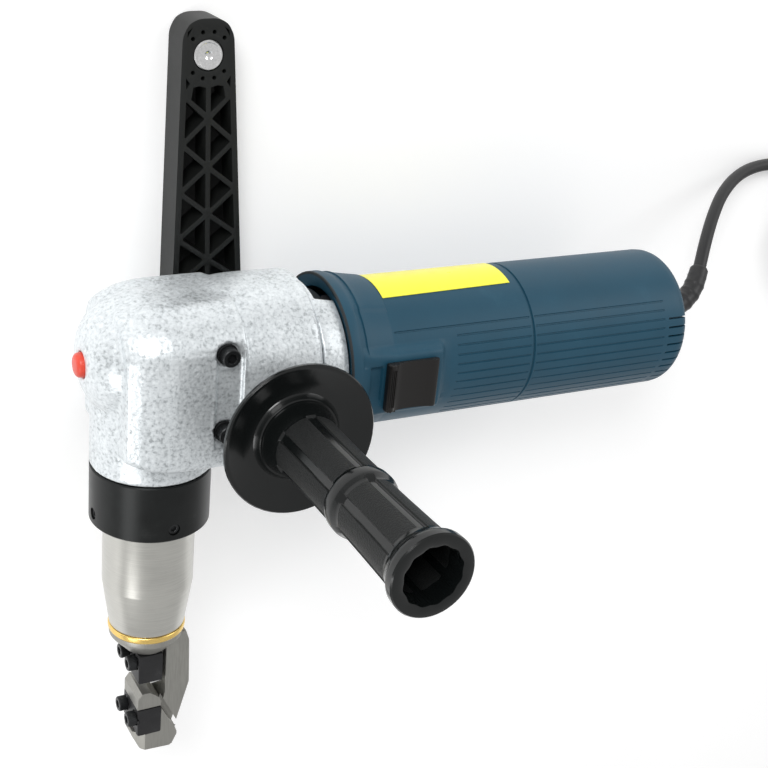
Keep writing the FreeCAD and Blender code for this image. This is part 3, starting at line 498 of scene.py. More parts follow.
def softened(points: Sequence[Point], cut: float, closed: bool = False, steps: int = 3) -> list[Point]:
    """Rounds the corners of an outline.

    Args:
        points: the outline's corners.
        cut: how far from each corner the rounding starts; shorter runs take less.
        closed: whether the last point joins the first.
        steps: pieces in each rounding.

    Returns:
        The new points.
    """
    result: list[Point] = []
    count = len(points)
    for i, corner in enumerate(points):
        if not closed and i in (0, count - 1):
            result.append(corner)
            continue
        here = Vector(corner)
        back = Vector(points[i - 1]) - here
        ahead = Vector(points[(i + 1) % count]) - here
        reach = min(cut, 0.45 * back.length, 0.45 * ahead.length)
        if reach < 1e-6 or back.angle(ahead) > math.radians(172):
            result.append(corner)
            continue
        start = here + back.normalized() * reach
        end = here + ahead.normalized() * reach
        for k in range(steps + 1):
            t = k / steps
            spot = start * (1 - t) ** 2 + here * (2 * t * (1 - t)) + end * t ** 2
            result.append((spot.x, spot.y))
    return result


def even_angles(count: int) -> list[float]:
    """Angles in radians evenly spaced round a full turn."""
    return [2 * math.pi * k / count for k in range(count)]


class Shape:
    """A mesh under construction, in the row frame."""

    def __init__(self) -> None:
        """Starts empty."""
        self.mesh = bmesh.new()

    def lathe(self, axis: Axis, profile: Sequence[Point], angles: Optional[Sequence[float]] = None,
              radius: Optional[Callable[[float, float, float], float]] = None, closed: bool = False,
              paint: Optional[Callable[[float, float], int]] = None) -> "Shape":
        """Adds a surface of revolution.

        Args:
            axis: the axis it turns about.
            profile: (radius, distance) in mm; a radius of 0 closes an end.
            angles: the angles of its columns, in radians.
            radius: gives the real radius from the profile's radius, the distance and the angle.
            closed: whether the profile's end joins its start, as on a ring.
            paint: gives each face's material number from its distance and angle.

        Returns:
            This shape.
        """
        angles = list(angles or even_angles(96))
        rows: list[list[bmesh.types.BMVert]] = []
        for r, s in profile:
            if r <= 1e-9:
                rows.append([self.mesh.verts.new(axis.at(s, 0, 0))])
            else:
                rows.append([self.mesh.verts.new(axis.at(s, radius(r, s, a) if radius else r, a))
                             for a in angles])
        spans = list(range(len(rows) - 1)) + ([len(rows) - 1] if closed else [])
        count = len(angles)
        for i in spans:
            low, high = rows[i], rows[(i + 1) % len(rows)]
            if len(low) == 1 and len(high) == 1:
                continue
            half = (profile[i][1] + profile[(i + 1) % len(rows)][1]) / 2
            for k in range(count):
                n = (k + 1) % count
                corners = ([low[0]] if len(low) == 1 else [low[k], low[n]])
                corners += ([high[0]] if len(high) == 1 else [high[n], high[k]])
                face = self.mesh.faces.new(corners)
                if paint:
                    face.material_index = paint(half, angles[k])
        return self

    def slab(self, outline: Sequence[Point], low: float, high: float,
             spot: Callable[[float, float, float], Vector], edge: float = 0.0, steps: int = 2) -> "Shape":
        """Adds a flat plate of any outline.

        Args:
            outline: its corners in mm.
            low: where it starts, across the outline.
            high: where it ends.
            spot: turns (across, up, through) in mm into a point of the row frame.
            edge: how far the rims are bevelled, in mm.
            steps: pieces in each bevel.

        Returns:
            This shape.
        """
        bottom = [self.mesh.verts.new(spot(a, b, low)) for a, b in outline]
        top = [self.mesh.verts.new(spot(a, b, high)) for a, b in outline]
        count = len(outline)
        faces = [self.mesh.faces.new(bottom), self.mesh.faces.new(list(reversed(top)))]
        rims = list(faces[0].edges) + list(faces[1].edges)
        for k in range(count):
            n = (k + 1) % count
            self.mesh.faces.new([bottom[n], bottom[k], top[k], top[n]])
        if edge > 0:
            bmesh.ops.bevel(self.mesh, geom=rims, offset=edge * MM, offset_type="OFFSET", segments=steps,
                            profile=0.5, affect="EDGES", clamp_overlap=True)
        return self

    def brick(self, low: Point3, high: Point3, spot: Callable[[float, float, float], Vector],
              edge: float = 0.4) -> "Shape":
        """Adds a box with every edge bevelled."""
        own = bmesh.new()
        places = [(x, y, z) for x in (low[0], high[0]) for y in (low[1], high[1]) for z in (low[2], high[2])]
        verts = [own.verts.new(spot(*p)) for p in places]
        for ring in ((0, 1, 3, 2), (4, 6, 7, 5), (0, 4, 5, 1), (2, 3, 7, 6), (0, 2, 6, 4), (1, 5, 7, 3)):
            own.faces.new([verts[i] for i in ring])
        bmesh.ops.bevel(own, geom=list(own.edges), offset=edge * MM, offset_type="OFFSET", segments=2,
                        profile=0.5, affect="EDGES", clamp_overlap=True)
        return self.take(own)

    def take(self, other: bmesh.types.BMesh) -> "Shape":
        """Adds another mesh's faces and frees it."""
        scratch = bpy.data.meshes.new("scratch")
        other.to_mesh(scratch)
        other.free()
        self.mesh.from_mesh(scratch)
        bpy.data.meshes.remove(scratch)
        return self

    def object(self, name: str, finishes: Sequence[str], crease: float = 32.0) -> bpy.types.Object:
        """Makes the object, with outward faces, smooth but for its creases.

        Args:
            name: the object's name.
            finishes: the finish of each material number.
            crease: the angle in degrees from which an edge stays sharp.

        Returns:
            The object.
        """
        bmesh.ops.remove_doubles(self.mesh, verts=self.mesh.verts, dist=1e-6)
        bmesh.ops.recalc_face_normals(self.mesh, faces=self.mesh.faces)
        for face in self.mesh.faces:
            face.smooth = True
        for edge in self.mesh.edges:
            if len(edge.link_faces) == 2 and edge.calc_face_angle(0.0) > math.radians(crease):
                edge.smooth = False
        data = bpy.data.meshes.new(name)
        self.mesh.to_mesh(data)
        self.mesh.free()
        made = bpy.data.objects.new(name, data)
        bpy.context.scene.collection.objects.link(made)
        for finish in finishes:
            data.materials.append(PALETTE.get(finish))
        return made


def carved(base: bpy.types.Object, tools: Sequence[bpy.types.Object], join: bool = False) -> bpy.types.Object:
    """Cuts tools out of a base, or joins them to it, and applies the result.

    Args:
        base: the object that stays.
        tools: closed objects, removed afterwards.
        join: whether the tools are joined instead of cut.

    Returns:
        The base.
    """
    for cutter in tools:
        step = base.modifiers.new("carve", "BOOLEAN")
        step.operation = "UNION" if join else "DIFFERENCE"
        step.solver = "EXACT"
        step.object = cutter
    return settled(base, tools)


def settled(base: bpy.types.Object, spent: Sequence[bpy.types.Object] = ()) -> bpy.types.Object:
    """Applies an object's modifiers and removes the objects that they used."""
    graph = bpy.context.evaluated_depsgraph_get()
    final = bpy.data.meshes.new_from_object(base.evaluated_get(graph), depsgraph=graph)
    old = base.data
    base.modifiers.clear()
    base.data = final
    bpy.data.meshes.remove(old)
    for tool_piece in spent:
        bpy.data.objects.remove(tool_piece)
    return base


def creased(piece: bpy.types.Object, angle: float) -> bpy.types.Object:
    """Smooth shading, sharp where faces meet at more than angle degrees."""
    mesh = bmesh.new()
    mesh.from_mesh(piece.data)
    for face in mesh.faces:
        face.smooth = True
    for edge in mesh.edges:
        edge.smooth = not (len(edge.link_faces) == 2 and edge.calc_face_angle(0.0) > math.radians(angle))
    mesh.to_mesh(piece.data)
    mesh.free()
    return piece


def bevelled(piece: bpy.types.Object, width: float, angle: float = 35.0, steps: int = 2) -> bpy.types.Object:
    """Rounds an object's sharp edges, width in mm."""
    step = piece.modifiers.new("edges", "BEVEL")
    step.width = width * MM
    step.segments = steps
    step.limit_method = "ANGLE"
    step.angle_limit = math.radians(angle)
    step.harden_normals = False
    return creased(settled(piece), 40.0)


def fitted(piece: bpy.types.Object, body: str, nodes: Sequence[str], finish: str) -> bpy.types.Object:
    """Puts a finished piece in place of its CAD nodes, on its body."""
    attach(piece, body)
    if nodes:
        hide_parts(*nodes)
    SLOT_OF_FINISH.get(finish, finish)
    log.info("%s rides on %s, %d faces", piece.name, body, len(getattr(piece.data, "polygons", ())))
    return piece


# ---------------------------------------------------------------- lines and small parts

def row(x: float, y: float, z: float) -> Vector:
    """A point given in mm of the row frame."""
    return Vector((x, y, z)) * MM


def upright(a: float, b: float, c: float) -> Vector:
    """Outlines seen from the near side: a along the motor, b up the head axis, c towards the bar."""
    return tool(a, c, b)


def across(a: float, b: float, c: float) -> Vector:
    """Outlines seen along the motor: a towards the bar, b up the head axis, c along the motor."""
    return tool(c, a, b)


def aimed(origin: Vector, along: Vector) -> Axis:
    """An axis through a point; where its angles start doesn't matter."""
    zero = along.orthogonal().normalized()
    return Axis(origin, along.normalized(), zero, along.normalized().cross(zero))


def smooth_line(points: Sequence[Vector], steps: int = 8) -> list[Vector]:
    """The line that a NURBS curve of order 3 with clamped ends follows.

    Args:
        points: its control points.
        steps: samples to each span.

    Returns:
        The samples, ends included.
    """
    line = [points[0]]
    last = len(points) - 1
    for i in range(1, last):
        start = points[0] if i == 1 else (points[i - 1] + points[i]) / 2
        end = points[last] if i == last - 1 else (points[i] + points[i + 1]) / 2
        for k in range(1, steps + 1):
            t = k / steps
            line.append(start * (1 - t) ** 2 + points[i] * (2 * t * (1 - t)) + end * t ** 2)
    return line


def swept(line: Sequence[Vector], radius: Callable[[float], float], columns: int = 32) -> Shape:
    """A round rod with flat ends along a line.

    Args:
        line: its middle line.
        radius: the radius in mm by the share of the length, from 0 to 1.
        columns: faces round it.

    Returns:
        The shape.
    """
    shape = Shape()
    lengths = [0.0]
    for here, ahead in zip(line, line[1:]):
        lengths.append(lengths[-1] + (ahead - here).length)
    side = (line[1] - line[0]).orthogonal().normalized()
    rings = []
    for i, spot in enumerate(line):
        run = (line[min(i + 1, len(line) - 1)] - line[max(i - 1, 0)]).normalized()
        side = (side - run * side.dot(run)).normalized()
        other = run.cross(side)
        size = radius(lengths[i] / lengths[-1]) * MM
        rings.append([shape.mesh.verts.new(spot + (side * math.cos(a) + other * math.sin(a)) * size)
                      for a in even_angles(columns)])
    for low, high in zip(rings, rings[1:]):
        for k in range(columns):
            n = (k + 1) % columns
            shape.mesh.faces.new([low[k], low[n], high[n], high[k]])
    shape.mesh.faces.new(rings[0])
    shape.mesh.faces.new(rings[-1])
    return shape


@dataclass(frozen=True)
class CapScrew:
    """A socket cap screw: a knurled head with a hexagon socket, and a short shank."""

    head: float
    height: float
    socket: float
    shank: float
    length: float

    def add(self, shape: Shape, seat: Vector, out: Vector) -> None:
        """Adds the screw to a shape.

        Args:
            shape: where it goes.
            seat: the middle of the head's underside.
            out: the way the head points.
        """
        top = self.height
        profile = [(0, top - 0.55 * top), (self.socket, top - 0.55 * top), (self.socket, top - 0.15),
                   (self.socket + 0.2, top), (self.head - 0.55, top), (self.head - 0.1, top - 0.45),
                   (self.head, top - 0.9), (self.head, 0.5), (self.head - 0.4, 0), (self.shank, 0),
                   (self.shank, -self.length), (0, -self.length)]
        shape.lathe(aimed(seat, out), profile, even_angles(120), self._radius)

    def _radius(self, r: float, _: float, angle: float) -> float:
        """Hexagonal inside the socket, knurled on the head's side."""
        if 0 < r <= self.socket:
            return r * math.cos(math.pi / 6) / math.cos(angle % (math.pi / 3) - math.pi / 6) * 1.1
        if abs(r - self.head) < 1e-6:
            return r - 0.12 * (1 + math.cos(30 * angle))
        return r


# ---------------------------------------------------------------- stage

@dataclass
class Stage:
    """The pale floor, the lights and the camera."""

    camera_at: tuple = (-0.3646, 0.3327, 0.6876)
    camera_looks: tuple = (0.463, -0.410, -0.786)
    camera_up: tuple = (0.121, 0.907, -0.403)
    lens: float = 65.9
    floor_half: float = 3.0

    def build(self) -> None:
        """Builds the stage; the camera comes first."""
        self.place_camera()
        self.lay_floor()
        self.light("key", (-0.9, 1.3, 1.3), 0.7, 17.0, (-0.05, 0.0, 0.05))
        self.light("fill", (1.3, 0.9, 1.0), 0.8, 5.0, (0.0, 0.0, 0.05))
        self.light("low", (-1.1, -0.5, 0.7), 0.5, 3.5, (-0.05, 0.0, 0.08))
        self.light_sky()

    def place_camera(self) -> None:
        """Adds the camera."""
        look = Vector(self.camera_looks).normalized()
        right = look.cross(Vector(self.camera_up)).normalized()
        up = right.cross(look)
        data = bpy.data.cameras.new("camera")
        data.lens = self.lens
        data.sensor_width = 36.0
        data.clip_start = 0.01
        data.dof.use_dof = False
        camera = bpy.data.objects.new("camera", data)
        turn = Matrix((right, up, -look)).transposed().to_4x4()
        camera.matrix_world = Matrix.Translation(Vector(self.camera_at)) @ turn
        bpy.context.scene.collection.objects.link(camera)
        bpy.context.scene.camera = camera

    def lay_floor(self) -> None:
        """Lays a wide matt floor a little below the object."""
        half = self.floor_half * 1000
        outline = [(-half, -half), (half, -half), (half, half), (-half, half)]
        shape = Shape().slab(outline, -20.0, -0.05, row, 4.0)
        board = Board("floor")
        cloud = board.noise(3.0, 2.0)
        tint = board.blend(cloud.within(0.3, 0.7), (0.90, 0.90, 0.90), (0.93, 0.93, 0.93))
        board.dress(Base_Color=tint, Roughness=0.75 + 0.1 * cloud,
                    Normal=board.bump(board.noise(900.0), 0.02, 0.2), Emission_Color=tint,
                    Emission_Strength=0.22)
        floor = shape.object("floor", [])
        floor.data.materials.append(board.material)

    def light(self, name: str, spot: tuple, size: float, power: float, aim: tuple) -> None:
        """Adds a square soft light.

        Args:
            name: its name.
            spot: where it stands, in metres.
            size: its side, in metres.
            power: its power in watts.
            aim: the point that it faces.
        """
        data = bpy.data.lights.new(name, "AREA")
        data.size = size
        data.energy = power
        lamp = bpy.data.objects.new(name, data)
        lamp.location = spot
        lamp.rotation_euler = (Vector(aim) - Vector(spot)).to_track_quat("-Z", "Y").to_euler()
        bpy.context.scene.collection.objects.link(lamp)

    @staticmethod
    def light_sky() -> None:
        """Lights the scene evenly with white."""
        world = bpy.data.worlds.new("studio")
        world.use_nodes = True
        back = world.node_tree.nodes["Background"]
        back.inputs["Color"].default_value = (1.0, 1.0, 1.0, 1.0)
        back.inputs["Strength"].default_value = 0.62
        bpy.context.scene.world = world
        bpy.context.scene.view_settings.view_transform = "Standard"


# ---------------------------------------------------------------- mains cord

@dataclass
class MainsCord:
    """The cord with its strain relief, its coil, the band round the coil, and the plug."""

    radius: float = 4.0
    length: float = 1.655
    relief_route: tuple = ((172, 34.5, 72), (186, 34.5, 72), (199, 36.2, 71.4), (210, 41, 69.5),
                           (218, 48.6, 66), (223.5, 56.5, 61))
    free_route: tuple = ((233.5, 69, 51), (247, 80.5, 38.5), (264, 91.5, 25), (286, 99.5, 13), (311, 103, 6),
                         (338, 102, 5.2), (360, 100.6, 5.2), (378, 100, 5.2), (388, 100, 5.2))
    coil_middle: Point = (398, 52)
    low: float = 5.2
    high: float = 13.2
    outer: float = 48.0
    pitch: float = 8.0
    turns: float = 5.25
    steps: int = 24
    tail: tuple = ((446, 46, 13.1), (446, 38, 11.4), (446, 31, 9.0), (446, 22, 8.5), (446, 8, 8.5),
                   (446, -2, 8.5))

    def build(self) -> None:
        """Builds and dresses every piece of it, the cord first."""
        cord = self.lay_cord()
        relief = self.form_relief()
        tie = self.wrap_tie()
        plug = self.mould_plug()
        pins = self.turn_pins()

    def coil_points(self) -> list[Vector]:
        """The control points of the turns: three inwards on the surface, the rest outwards on top."""
        points = []
        for i in range(1, int(self.turns * self.steps) + 1):
            t = i / self.steps
            angle = math.radians(90 - 360 * t)
            reach = self._reach(t)
            lift = self.low + (self.high - self.low) * self._eased((t - 2.5) / 0.3)
            points.append(row(self.coil_middle[0] + reach * math.cos(angle),
                              self.coil_middle[1] + reach * math.sin(angle), lift))
        return points

    def _reach(self, t: float) -> float:
        """The radius after t turns: it changes by one pitch within a part of a turn."""
        if t < 3:
            steps_in = min(int(t), 2) + (self._eased((t % 1 - 0.82) / 0.18) if t < 2 else 0.0)
            return self.outer - self.pitch * steps_in
        steps_out = self._eased((t - 3.0) / 0.45) + self._eased((t - 4.0) / 0.45)
        return self.outer - self.pitch * (2 - steps_out)

    @staticmethod
    def _eased(t: float) -> float:
        """0 before 0, 1 after 1, smooth between."""
        t = min(1.0, max(0.0, t))
        return t * t * (3 - 2 * t)

    def lay_cord(self) -> bpy.types.Object:
        """Lays the cord as one curve, from inside the relief to inside the plug."""
        first = [row(*p) for p in ((178, 34.5, 72),) + self.relief_route[1:] + self.free_route]
        points = first + [row(self.coil_middle[0], self.coil_middle[1] + self.outer, self.low)]
        points += self.coil_points() + [row(*p) for p in self.tail]
        data = bpy.data.curves.new("cord_line", "CURVE")
        data.dimensions = "3D"
        data.bevel_depth = self.radius * MM
        data.bevel_resolution = 6
        data.resolution_u = 6
        data.use_fill_caps = True
        spline = data.splines.new("NURBS")
        spline.points.add(len(points) - 1)
        for point, spot in zip(spline.points, points):
            point.co = (*spot, 1.0)
        spline.order_u = 3
        spline.use_endpoint_u = True
        cord = bpy.data.objects.new("cord_line", data)
        bpy.context.scene.collection.objects.link(cord)
        data.materials.append(PALETTE.get("cord_rubber"))
        return fitted(cord, "root", ["cord", "cord_coil"], "cord_rubber")

    def form_relief(self) -> bpy.types.Object:
        """The rubber sleeve that keeps the cord from kinking, ribbed along its thinner part."""
        line = smooth_line([row(*p) for p in self.relief_route], 16)
        shape = swept(line, self._relief_radius, 40)
        return fitted(shape.object("relief", ["cord_rubber"], 50), "root", ["strain_relief"], "cord_rubber")

    @staticmethod
    def _relief_radius(share: float) -> float:
        """A taper with shallow rings towards its thin end."""
        ring = 0.35 * max(0.0, math.sin(share * 2 * math.pi * 9)) if 0.30 < share < 0.9 else 0.0
        collar = 1.1 if share < 0.2 else 0.0
        return 7.2 - 1.5 * share + ring + collar - (0.8 if share > 0.985 else 0.0)

    def wrap_tie(self) -> bpy.types.Object:
        """The fabric band wrapped across the turns."""
        outer = softened([(345.0, 0.25), (371.1, 0.25), (371.1, 18.2), (345.0, 18.2)], 3.6, True, 5)
        inner = softened([(346.1, 1.1), (370.0, 1.1), (370.0, 17.3), (346.1, 17.3)], 3.0, True, 5)
        shape = Shape()
        loops = []
        for y, outline in ((46.2, outer), (57.8, outer), (57.8, inner), (46.2, inner)):
            loops.append([shape.mesh.verts.new(row(x, y, z)) for x, z in outline])
        count = len(outer)
        for low, high in zip(loops, loops[1:] + loops[:1]):
            for k in range(count):
                n = (k + 1) % count
                shape.mesh.faces.new([low[k], low[n], high[n], high[k]])
        shape.brick((347.5, 46.6, 17.9), (364, 57.4, 18.35), row, 0.15)
        tie = shape.object("tie", ["tie_fabric"], 45)
        return fitted(tie, "root", ["cord_tie"], "tie_fabric")

    def mould_plug(self) -> bpy.types.Object:
        """The moulded plug and its own ribbed relief."""
        outline = softened([(437, 1.4), (455, 1.4), (462.5, -12), (463.3, -26), (461.5, -41.8),
                            (430.5, -41.8), (428.7, -26), (429.5, -12)], 5.0, True, 5)
        shape = Shape().slab(outline, 0.6, 16.4, row, 2.6, 4)
        line = [row(446, 31.2 - 32 * k / 40, 8.5) for k in range(41)]
        relief = swept(line, lambda t: 4.9 + 1.5 * t + (0.4 if (t * 11) % 1 < 0.5 and 0.1 < t < 0.92
                                                        else 0.0), 36)
        shape.take(relief.mesh)
        for k in range(5):
            for x in (429.1, 462.9):
                y = -17 - 4.4 * k
                shape.brick((x - 0.7, y - 0.9, 4.0), (x + 0.7, y + 0.9, 13.0), row, 0.35)
        plug = shape.object("plug", ["plug_plastic"], 40)
        return fitted(plug, "root", ["plug_body"], "plug_plastic")

    def turn_pins(self) -> bpy.types.Object:
        """Two round pins, sleeved in plastic near the body."""
        shape = Shape()
        for x in (436.5, 455.5):
            axis = aimed(row(x, -41.0, 8.5), Vector((0, -1, 0)))
            shape.lathe(axis, [(0, 0), (2.38, 0), (2.38, 9), (2.0, 9.2), (2.0, 9.6)], even_angles(36),
                        paint=lambda s, a: 1)
            shape.lathe(axis, [(0, 9), (2.38, 9.3), (2.38, 17.6), (2.1, 18.9), (1.2, 19.8), (0, 20)],
                        even_angles(36), paint=lambda s, a: 0)
        pins = shape.object("pins", ["pin_metal", "plug_plastic"], 40)
        return fitted(pins, "root", ["plug_pins"], "pin_metal")


# ---------------------------------------------------------------- gear case

@dataclass
class GearCase:
    """The cast case, the cast ring behind it, its screws and the red button in its nose."""

    lobe_z: float = 12.0
    drum_z: float = 6.0
    screw_x: float = 23.5
    screw_heights: Point = (25.0, -16.5)
    button_z: float = 10.4
    grain: float = 0.85

    def build(self) -> None:
        """Builds and dresses the pieces."""
        self.cast_case()
        self.cast_ring()
        self.fit_screws()
        self.fit_button()

    def about_motor(self, height: float) -> Axis:
        """The motor axis moved up by height in mm."""
        return Axis(MOTOR.origin + Vector((0, height * MM, 0)), MOTOR.along, MOTOR.zero, MOTOR.quarter)

    def cast_case(self) -> None:
        """The case: round nose, drum, side block, keel and neck, melted together as a casting."""
        shape = Shape()
        lobe = [(0, -37.5), (10, -37.5), (15, -36.5), (20, -34), (25, -30), (30, -22), (33, -14), (34, -8),
                (34, 60), (0, 60)]
        shape.lathe(self.about_motor(self.lobe_z), softened(lobe, 4))
        drum = [(0, 18), (38.6, 18), (39.9, 24), (41.6, 31), (42.7, 38), (43, 45), (43, 75.7), (0, 75.7)]
        shape.lathe(self.about_motor(self.drum_z), softened(drum, 4))
        shape.lathe(HEAD, [(0, 14), (31.5, 14), (31.5, -47.9), (0, -47.9)])
        self._add_block(shape)
        keel = [(-26, -24), (-17, -40), (-7, -45.7), (66, -45.7), (75.7, -37), (75.7, -10), (-20, -10)]
        shape.slab(keel, -23.5, 23.5, upright)
        shape.lathe(aimed(tool(50, 0, -10), Vector((0, 0, 1))), [(0, 20), (14, 20), (14, 47.2), (0, 47.2)])
        shape.lathe(aimed(tool(50, 0, -10), Vector((0, 0, -1))), [(0, 20), (15, 20), (15, 51.6), (0, 51.6)])
        case = shape.object("case", ["cast_case"])
        self._melt(case, self.grain, 3)
        carved(case, self._hollows())
        self._melt(case, self.grain, 3)
        creased(case, 60)
        fitted(case, "root", ["gear_case"], "cast_case")

    @staticmethod
    def _melt(piece: bpy.types.Object, voxel: float, rounds: int) -> None:
        """Fuses overlapping solids and softens their edges."""
        remesh = piece.modifiers.new("melt", "REMESH")
        remesh.mode = "VOXEL"
        remesh.voxel_size = voxel * MM
        smooth = piece.modifiers.new("soften", "SMOOTH")
        smooth.factor = 0.5
        smooth.iterations = rounds
        settled(piece)

    @staticmethod
    def _add_block(shape: Shape) -> None:
        """The broad block between nose and drum, drawn in towards the nose."""
        full = softened([(-42, -36.5), (42, -36.5), (42, 28), (35, 38), (21, 45.6), (-21, 45.6), (-35, 38),
                         (-42, 28)], 5.0, True, 3)
        stations = [(-25, 0.80, 0.86), (-19, 0.89, 0.92), (-12, 0.955, 0.97), (-5, 0.99, 0.99), (2, 1, 1),
                    (33.4, 1, 1)]
        loops = [[shape.mesh.verts.new(across(y * wide, (z - 4) * tall + 4, x)) for y, z in full]
                 for x, wide, tall in stations]
        count = len(full)
        for low, high in zip(loops, loops[1:]):
            for k in range(count):
                n = (k + 1) % count
                shape.mesh.faces.new([low[k], low[n], high[n], high[k]])
        shape.mesh.faces.new(loops[0])
        shape.mesh.faces.new(loops[-1])

    def _hollows(self) -> list[bpy.types.Object]:
        """The casting's cuts: sunk sides and their step lines, the screws' channel, the button's hole."""
        tools = []
        for side in (-1, 1):
            sunk = [(-10, 42.1 * side), (17.4, 40.9 * side), (17.4, 50 * side), (-10, 50 * side)]
            line = [(-6, 42.1 * side), (17.8, 39.6 * side), (17.8, 50 * side), (-6, 50 * side)]
            tools.append(Shape().slab(sunk, -15.2, 28.2, tool).object("sunk", []))
            tools.append(Shape().slab(line, 26.9, 28.6, tool).object("line", []))
            tools.append(Shape().slab(line, -15.6, -13.9, tool).object("line", []))
        channel = softened([(17.6, -25), (31.6, -25), (31.6, 29), (24, 39), (17.6, 39)], 1.2, True)
        tools.append(Shape().slab(channel, -60, -39.6, upright).object("channel", []))
        for height in self.screw_heights:
            tools.append(Shape().lathe(aimed(tool(self.screw_x, -37.8, height), Vector((0, 0, 1))),
                                       [(0, 0), (6.3, 0), (6.3, 9), (0, 9)]).object("seat", []))
        hole = [(0, -45), (6.9, -45), (6.9, -34), (0, -34)]
        tools.append(Shape().lathe(self.about_motor(self.button_z), hole).object("button_hole", []))
        return tools

    def cast_ring(self) -> None:
        """The cast ring towards the motor, open at the top and the sides, over a dark disc that paints the
        shade seen through its gaps.
        """
        profile = [(40, 76.1), (42.6, 76.1), (43.4, 76.9), (43.4, 80), (41.6, 90.3), (38, 90.3), (38, 80),
                   (40, 78)]
        ring = Shape().lathe(MOTOR, softened(profile, 0.5, True), closed=True).object("ring", ["cast_case"])
        gaps = [Shape().brick((79.2, -17, 30), (95, 26, 60), tool, 0.8).object("gap", [])]
        for side in (-1, 1):
            y = sorted((32 * side, 60 * side))
            gaps.append(Shape().brick((84, y[0], -15), (95, y[1], 6.5), tool, 0.8).object("gap", []))
        gaps.append(Shape().brick((79.2, -17, -60), (95, 17, -30), tool, 0.8).object("gap", []))
        carved(ring, gaps)
        bevelled(ring, 0.5)
        fitted(ring, "root", ["bearing_flange"], "cast_case")
        # Painted shade: a dark disc inside the ring stands for the darkness seen through its gaps, not for a
        # real part.
        disc = [(0, 77.2), (37.9, 77.2), (37.9, 79.2), (36.6, 79.6), (36.6, 88.5), (35.4, 88.5), (35.4, 80.2),
                (0, 80.2)]
        painted_shade_disc = Shape().lathe(MOTOR, softened(disc, 0.4)).object("painted_shade_disc", ["rim_plastic_and_painted_shade"])
        fitted(painted_shade_disc, "root", [], "inner_plastic")

    def fit_screws(self) -> None:
        """The two cap screws and their washers, in the channel."""
        shape = Shape()
        screw = CapScrew(4.75, 5.4, 2.5, 2.98, 9.0)
        for height in self.screw_heights:
            screw.add(shape, tool(self.screw_x, -39.6, height), Vector((0, 0, 1)))
            shape.lathe(aimed(tool(self.screw_x, -37.9, height), Vector((0, 0, 1))),
                        [(3.1, 0), (5.2, 0), (5.4, 0.3), (5.4, 1.3), (5.2, 1.6), (3.1, 1.6)], closed=True)
        screws = shape.object("case_screws", ["dark_steel"], 35)
        fitted(screws, "root", ["gear_case_screws"], "dark_steel")

    def fit_button(self) -> None:
        """The red button."""
        profile = softened([(0, -40.9), (4.6, -40.6), (6.1, -39.4), (6.4, -37.5), (6.4, -32.2), (0, -32.2)],
                           0.8)
        button = Shape().lathe(self.about_motor(self.button_z), profile).object("button", ["red_button"], 50)
        fitted(button, "button", ["lock_button"], "red_button")


# ---------------------------------------------------------------- cutting head

